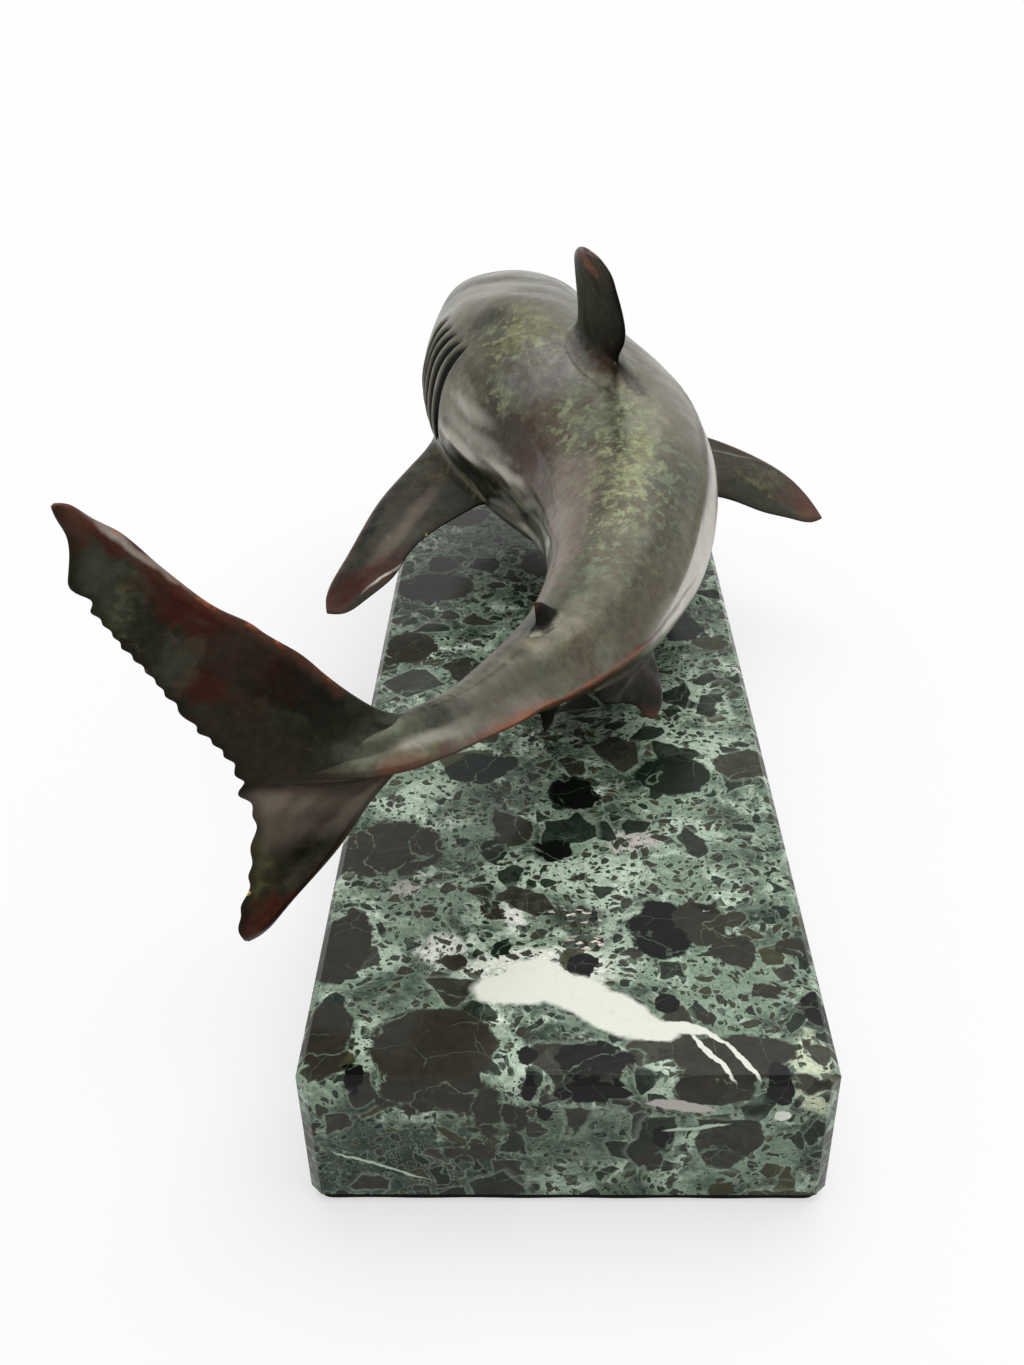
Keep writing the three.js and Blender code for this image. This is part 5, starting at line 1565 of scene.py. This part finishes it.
def marble_ground(shading, bent):
    """The marble's matrix: slow clouds from deep green to mint, and milk-white ones over them.
    Gives the colour and the noise of the milk."""
    clouds = shading.noise(bent, 0.06, 7.0, 0.66, 0.3)
    colour = shading.mix(shading.smooth(clouds, 0.34, 0.48), DEEP_GREEN, SEA_GREEN)
    colour = shading.mix(shading.smooth(clouds, 0.42, 0.58), colour, MINT)
    milk = shading.noise(shading.vector("ADD", bent, (71.0, 12.0, 33.0)), 0.11, 9.0, 0.68, 0.5)
    colour = shading.mix(shading.smooth(milk, 0.49, 0.64), colour, PALE_MINT)
    return shading.mix(shading.smooth(milk, 0.61, 0.7), colour, WHITE_VEIN), milk


def lay_clouds(shading, coords, torn, colour):
    """The slab's own clouds, their edges torn to shreds by a noise."""
    shreds = shading.noise(shading.warped(coords, 0.3, 1.2), 0.24, 8.0, 0.7, 0.4) * 2.2 - 1.1
    for centre, axes, radii, shade in spots(TOP_CLOUDS, FRONT_CLOUDS):
        mask = shading.smooth(shading.patch(torn, centre, axes, radii, 0.7) + shreds, 0.2, 0.9)
        colour = shading.mix(mask * 0.9, colour, shade)
    return colour


def sow_clasts(shading, coords, colour, inner):
    """Clasts of every size, the rounded ones first, each of its own tint and with a pale halo."""
    for row in [(*row, True) for row in BEAD_SIZES] + [(*row, False) for row in CLAST_SIZES]:
        mask, halo, tint = clasts(shading, coords, *row)
        shade = shading.mix(shading.smooth(tint, 0.25, 0.5), CLAST_GREEN, CLAST_BROWN)
        shade = shading.mix(shading.smooth(tint, 0.82, 0.9), shade, CLAST_OLIVE)
        shade = shading.scaled(shade, shading.smooth(inner, 0.3, 0.7, 0.62, 1.3))
        colour = shading.mix(halo * 0.2, colour, PALE_MINT)
        colour = shading.mix(mask * 0.95, colour, shade)
    return colour


def lay_spots(shading, coords, colour, found, edge):
    """Spots of the slab laid over a colour. Gives the colour, and 1 where any of them lies."""
    plain = 1.0
    for centre, axes, radii, shade in found:
        mask = shading.patch(coords, centre, axes, radii, edge)
        colour = shading.mix(mask, colour, shade)
        plain = (1 - mask) * plain
    return colour, 1 - plain


def lay_glints(shading, coords, torn, colour):
    """Dark crystals, in which the middles of long cells shine as cream needles."""
    needles = shading.node("Mapping", {}, {
        "Vector": shading.warped(coords, 0.3, 1.6), "Rotation": (0.0, 0.0, 0.5),
        "Scale": (0.22, 0.75, 0.75),
    })
    glinting = shading.smooth(shading.cells(needles, 1.0), 0.2, 0.34, 1.0, 0.0)
    for centre, axes, radii, shade in spots(TOP_GLINTS):
        mask = shading.patch(torn, centre, axes, radii, 0.5)
        colour = shading.mix(mask * 0.8, colour, CLAST_BLACK)
        colour = shading.mix(mask * glinting, colour, shade)
    return colour


def lay_veins(shading, coords, colour, milk, grit):
    """Hair cracks along the edges of large cells where the marble is milky, and veins where a slow
    noise passes its middle."""
    crack = shading.cells(shading.warped(coords, 0.12, 3), 0.1, "DISTANCE_TO_EDGE")
    hair = shading.smooth(crack, 0.0, 0.012, 1.0, 0.0) * shading.smooth(milk, 0.42, 0.56)
    streak = shading.noise(shading.warped(coords, 0.09, 5), 0.03, 3.0, 0.45)
    vein = shading.smooth((streak - 0.5).away(), 0.0, 0.006, 1.0, 0.0) * shading.smooth(grit, 0.4, 0.55)
    return shading.mix(vein.high(hair * 0.5) * 0.7, colour, MINT)


def marble(name):
    """Polished green breccia: matrix, the slab's clouds, sown clasts, its large clasts and
    crystals, veins and its whites, each laid over the ones before."""
    made, shading = material(name)
    coords = shading.millimetres()
    bent = shading.warped(shading.warped(coords, 0.05, 5), 0.22, 0.9)
    fine = shading.warped(bent, 0.9, 0.24)
    torn = shading.warped(shading.warped(coords, 0.15, 1.4), 0.7, 0.4)
    grit = shading.noise(shading.warped(coords, 0.6, 0.6), 0.9, 8.0, 0.7, 0.3)
    inner = shading.noise(shading.warped(coords, 0.3, 1.4), 0.35, 8.0, 0.7)
    colour, milk = marble_ground(shading, bent)
    colour = lay_clouds(shading, coords, torn, colour)
    colour = shading.scaled(colour, shading.smooth(grit, 0.28, 0.72, 0.66, 1.28))
    colour = sow_clasts(shading, fine, colour, inner)
    facets = shading.vector("SUBTRACT", shading.cells(bent, 0.25, output=1), (0.5, 0.5, 0.5))
    faceted = shading.vector("ADD", shading.warped(torn, 0.2, 0.7), shading.scaled(facets, 1.1))
    colour, laid = lay_spots(shading, faceted, colour, spots(TOP_CLASTS, FRONT_CLASTS), CLAST_EDGE)
    colour = shading.scaled(colour, laid * shading.smooth(inner, 0.3, 0.7, -0.2, 0.22) + 1)
    colour = lay_glints(shading, coords, torn, colour)
    colour = lay_veins(shading, coords, colour, milk, grit)
    colour, laid = lay_spots(shading, torn, colour, spots(TOP_WHITES, FRONT_WHITES), WHITE_EDGE)
    colour = shading.mix(laid * shading.smooth(inner, 0.5, 0.75) * 0.35, colour, PALE_MINT)
    relief = shading.bump(shading.noise(coords, 0.5, 3.0), POLISH_DEPTH)
    surface(shading, {
        "Base Color": colour, "Roughness": shading.smooth(grit, 0.3, 0.7, 0.1, 0.2), "Normal": relief,
        "Specular IOR Level": 0.14,
    })
    return made


def felt(name):
    """Matted fibres: a fine noise twisted by its own distortion, in colour and relief."""
    made, shading = material(name)
    coords = shading.millimetres()
    fibres = shading.noise(shading.warped(coords, 0.8, 1.2), 2.6, 8.0, 0.75, 1.5)
    colour = shading.mix(shading.smooth(fibres, 0.35, 0.7), rgb(20, 23, 20), rgb(52, 57, 52))
    surface(shading, {
        "Base Color": colour, "Roughness": 0.95, "Specular IOR Level": 0.1,
        "Normal": shading.bump(fibres, FIBRE_DEPTH),
    })
    return made


def steel(name):
    """Zinc plate: faint turning marks and dull blotches."""
    made, shading = material(name)
    coords = shading.millimetres()
    blotch = shading.noise(coords, 0.5, 5.0, 0.6)
    drawn_out = shading.node("Mapping", {}, {"Vector": coords, "Scale": (0.3, 0.3, 14.0)})
    turned = shading.noise(drawn_out, 1.0, 2.0)
    colour = shading.mix(shading.smooth(blotch, 0.35, 0.65), rgb(168, 170, 172), rgb(204, 206, 208))
    surface(shading, {
        "Base Color": colour, "Metallic": 1.0, "Roughness": shading.smooth(blotch, 0.3, 0.7, 0.28, 0.45),
        "Normal": shading.bump(turned, TURNING_DEPTH),
    })
    return made


# Camera, solved from the slab's edges in the photograph: place and lens in millimetres, angles in
# degrees, the pitch downwards, the yaw to the right and the roll about the view
CAMERA_PLACE = (-2.541, -318.712, 221.903)
CAMERA_PITCH = 31.4325
CAMERA_YAW = -1.8896
CAMERA_ROLL = 1.4843
CAMERA_LENS = 35.181
SENSOR_LONG_SIDE = 36.0
CAMERA_CLIP_START = 0.01


def build_camera():
    """The photograph's camera, from its place, its direction and the way that is level in it."""
    pitch, yaw, roll = (math.radians(angle) for angle in (CAMERA_PITCH, CAMERA_YAW, CAMERA_ROLL))
    ahead = np.array([math.sin(yaw) * math.cos(pitch), math.cos(yaw) * math.cos(pitch), -math.sin(pitch)])
    level = np.array([math.cos(yaw), -math.sin(yaw), 0.0])
    down = np.cross(ahead, level)
    right = math.cos(roll) * level + math.sin(roll) * down
    below = -math.sin(roll) * level + math.cos(roll) * down
    data = bpy.data.cameras.new("camera")
    data.sensor_fit = "AUTO"
    data.sensor_width = SENSOR_LONG_SIDE
    data.lens = CAMERA_LENS
    data.clip_start = CAMERA_CLIP_START
    camera = bpy.data.objects.new("camera", data)
    bpy.context.scene.collection.objects.link(camera)
    place = np.eye(4)
    place[:3, 0] = right
    place[:3, 1] = -below
    place[:3, 2] = -ahead
    place[:3, 3] = np.array(CAMERA_PLACE) * METRES
    camera.matrix_world = Matrix(place.tolist())
    bpy.context.scene.camera = camera


# Light and floor
DOME_LOW = 0.22
DOME_TOP = 0.5
BACKDROP = 1.1
BACKDROP_WAY = (0.25, 0.97, 0.0)
SUN_STRENGTH = 1.8
SUN_DIRECTION = (0.2, 0.15, 1.0)
SUN_ANGLE = 70
FLOOR_HALF_SIZE = 20000.0
FLOOR_WHITE = 0.93
FLOOR_GLOW = 0.58


def ray_share(shading, *kinds):
    """1 for rays of these kinds and 0 for all others."""
    outputs = shading.node("LightPath").socket.node.outputs
    share = Wire(shading, outputs[f"Is {kinds[0]} Ray"])
    for kind in kinds[1:]:
        share = share.high(Wire(shading, outputs[f"Is {kind} Ray"]))
    return share


def build_world():
    """A grey dome, brighter overhead, with a white backdrop behind the shark's head. It only lights
    the scene: the camera and reflections see plain white instead."""
    world = bpy.data.worlds.new("studio")
    world.use_nodes = True
    shading = Shading(world.node_tree)
    direction = shading.node("TexCoord", {}, {}, 0)
    ahead = shading.vector("DOT_PRODUCT", direction, BACKDROP_WAY)
    height = shading.vector("DOT_PRODUCT", direction, (0.0, 0.0, 1.0))
    backdrop = shading.smooth(ahead, 0.2, 0.9, 0.0, BACKDROP) * shading.smooth(height, 0.1, 0.6, 1.0, 0.2)
    dome = backdrop + shading.smooth(height, 0.0, 0.9, DOME_LOW, DOME_TOP)
    seen = ray_share(shading, "Camera", "Glossy", "Transmission")
    strength = dome * (1 - seen) + seen
    background = shading.node("Background", {}, {"Color": (1, 1, 1, 1), "Strength": strength})
    shading.node("OutputWorld", {}, {"Surface": background})
    bpy.context.scene.world = world


def add_sun():
    """A wide soft lamp overhead, a little to the shark's right and towards its head."""
    data = bpy.data.lights.new("overhead", "SUN")
    data.energy = SUN_STRENGTH
    data.angle = math.radians(SUN_ANGLE)
    lamp = bpy.data.objects.new("overhead", data)
    bpy.context.scene.collection.objects.link(lamp)
    towards = Matrix.Translation(SUN_DIRECTION).to_translation()
    lamp.matrix_world = towards.to_track_quat("Z", "Y").to_matrix().to_4x4()


def build_floor():
    """A plain white floor that keeps the shadows and fills the view to its top edge."""
    corners = np.array([[-1, -1, 0], [1, -1, 0], [1, 1, 0], [-1, 1, 0]]) * FLOOR_HALF_SIZE
    floor = mesh_piece("floor", corners, np.array([[0, 1, 2, 3]]), np.empty((0, 3), int), smooth=False)
    made, shading = material("floor_white")
    lit = shading.node("BsdfPrincipled", {}, {
        "Base Color": (FLOOR_WHITE, FLOOR_WHITE, FLOOR_WHITE, 1.0), "Roughness": 1.0,
        "Specular IOR Level": 0.0,
    })
    white = shading.node("Emission", {}, {"Strength": 1.0})
    share = ray_share(shading, "Camera", "Glossy", "Transmission") * FLOOR_GLOW
    both = shading.node("MixShader", {}, {0: share, 1: lit, 2: white})
    shading.node("OutputMaterial", {}, {"Surface": both})
    floor.data.materials.append(made)


def finish_piece(piece, made):
    """Give a piece its material. A piece of this script also gets its body, which a CAD node has already."""
    piece.data.materials.clear()
    piece.data.materials.append(made)
    if piece.name not in nodes:
        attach(piece, "root")


build_camera()
build_world()
add_sun()
build_floor()

small_fin_stains = body_patches(REAR_FLANK_PATCHES, STALK_START_PATCHES)
small_fin_stains += fin_patches(FIN_PATCHES, "second_dorsal_fin")
pectorals = ("left_pectoral_fin", "right_pectoral_fin")
pectoral_stains = body_patches(SHOULDER_PATCHES) + fin_patches(FIN_PATCHES, *pectorals)
pectoral_sheens = fin_patches(FIN_SHEENS, *pectorals)
saddle_stains = body_patches(
    BACK_PATCHES, REAR_FLANK_PATCHES, SHOULDER_PATCHES, PECTORAL_FOOT_SHADE_AND_BLOOM, STALK_START_PATCHES,
    DORSAL_FOOT_PATCHES, SADDLE_PATCHES,
)
body_stains = saddle_stains + body_patches(LAST_BLOOMS)
dorsal_stains = saddle_stains + fin_patches(FIN_PATCHES, "dorsal_fin")
body_sheens = body_patches(BODY_SHEENS, STALK_SHEENS)
tail_stains = body_patches(STALK_PATCHES) + tail_patches(TAIL_PATCHES)
tail_sheens = body_patches(STALK_SHEENS) + tail_patches(TAIL_SHEENS)

plain_finish = bronze("patina_plain", 0.4)
small_finish = bronze("patina_small_fins", 0.1, small_fin_stains, level=SMALL_FIN_LEVEL, worn=True)
pectoral_finish = bronze(
    "patina_pectoral", 0.3, pectoral_stains, pectoral_sheens, level=PECTORAL_LEVEL, worn=True,
)
dorsal_finish = bronze("patina_dorsal", 0.08, dorsal_stains, body_sheens, worn=True)
tail_finish = bronze("patina_tail", 0.1, tail_stains, tail_sheens, level=TAIL_LEVEL, worn=True)
body_finish = bronze("patina_body", 0.9, body_stains, body_sheens, grooved=True)
fin_finishes = dict.fromkeys(pectorals, pectoral_finish)
fin_finishes["dorsal_fin"] = dorsal_finish

finish_piece(build_body(), body_finish)
for fin_name, fin_values in FINS.items():
    finish_piece(build_fin(fin_name, fin_values), fin_finishes.get(fin_name, small_finish))
finish_piece(build_tail(), tail_finish)
finish_piece(build_post(), plain_finish)
finish_piece(nodes["belly_boss"], plain_finish)
finish_piece(build_felt(), felt("matted_felt"))
finish_piece(nodes["marble_base"], marble("green_breccia"))
steel_finish = steel("zinc_plate")
for part in ("threaded_stud", "locating_pin", "flat_washer", "lock_washer", "hex_nut"):
    finish_piece(nodes[part], steel_finish)

scene = bpy.context.scene
scene.view_settings.view_transform = "Standard"
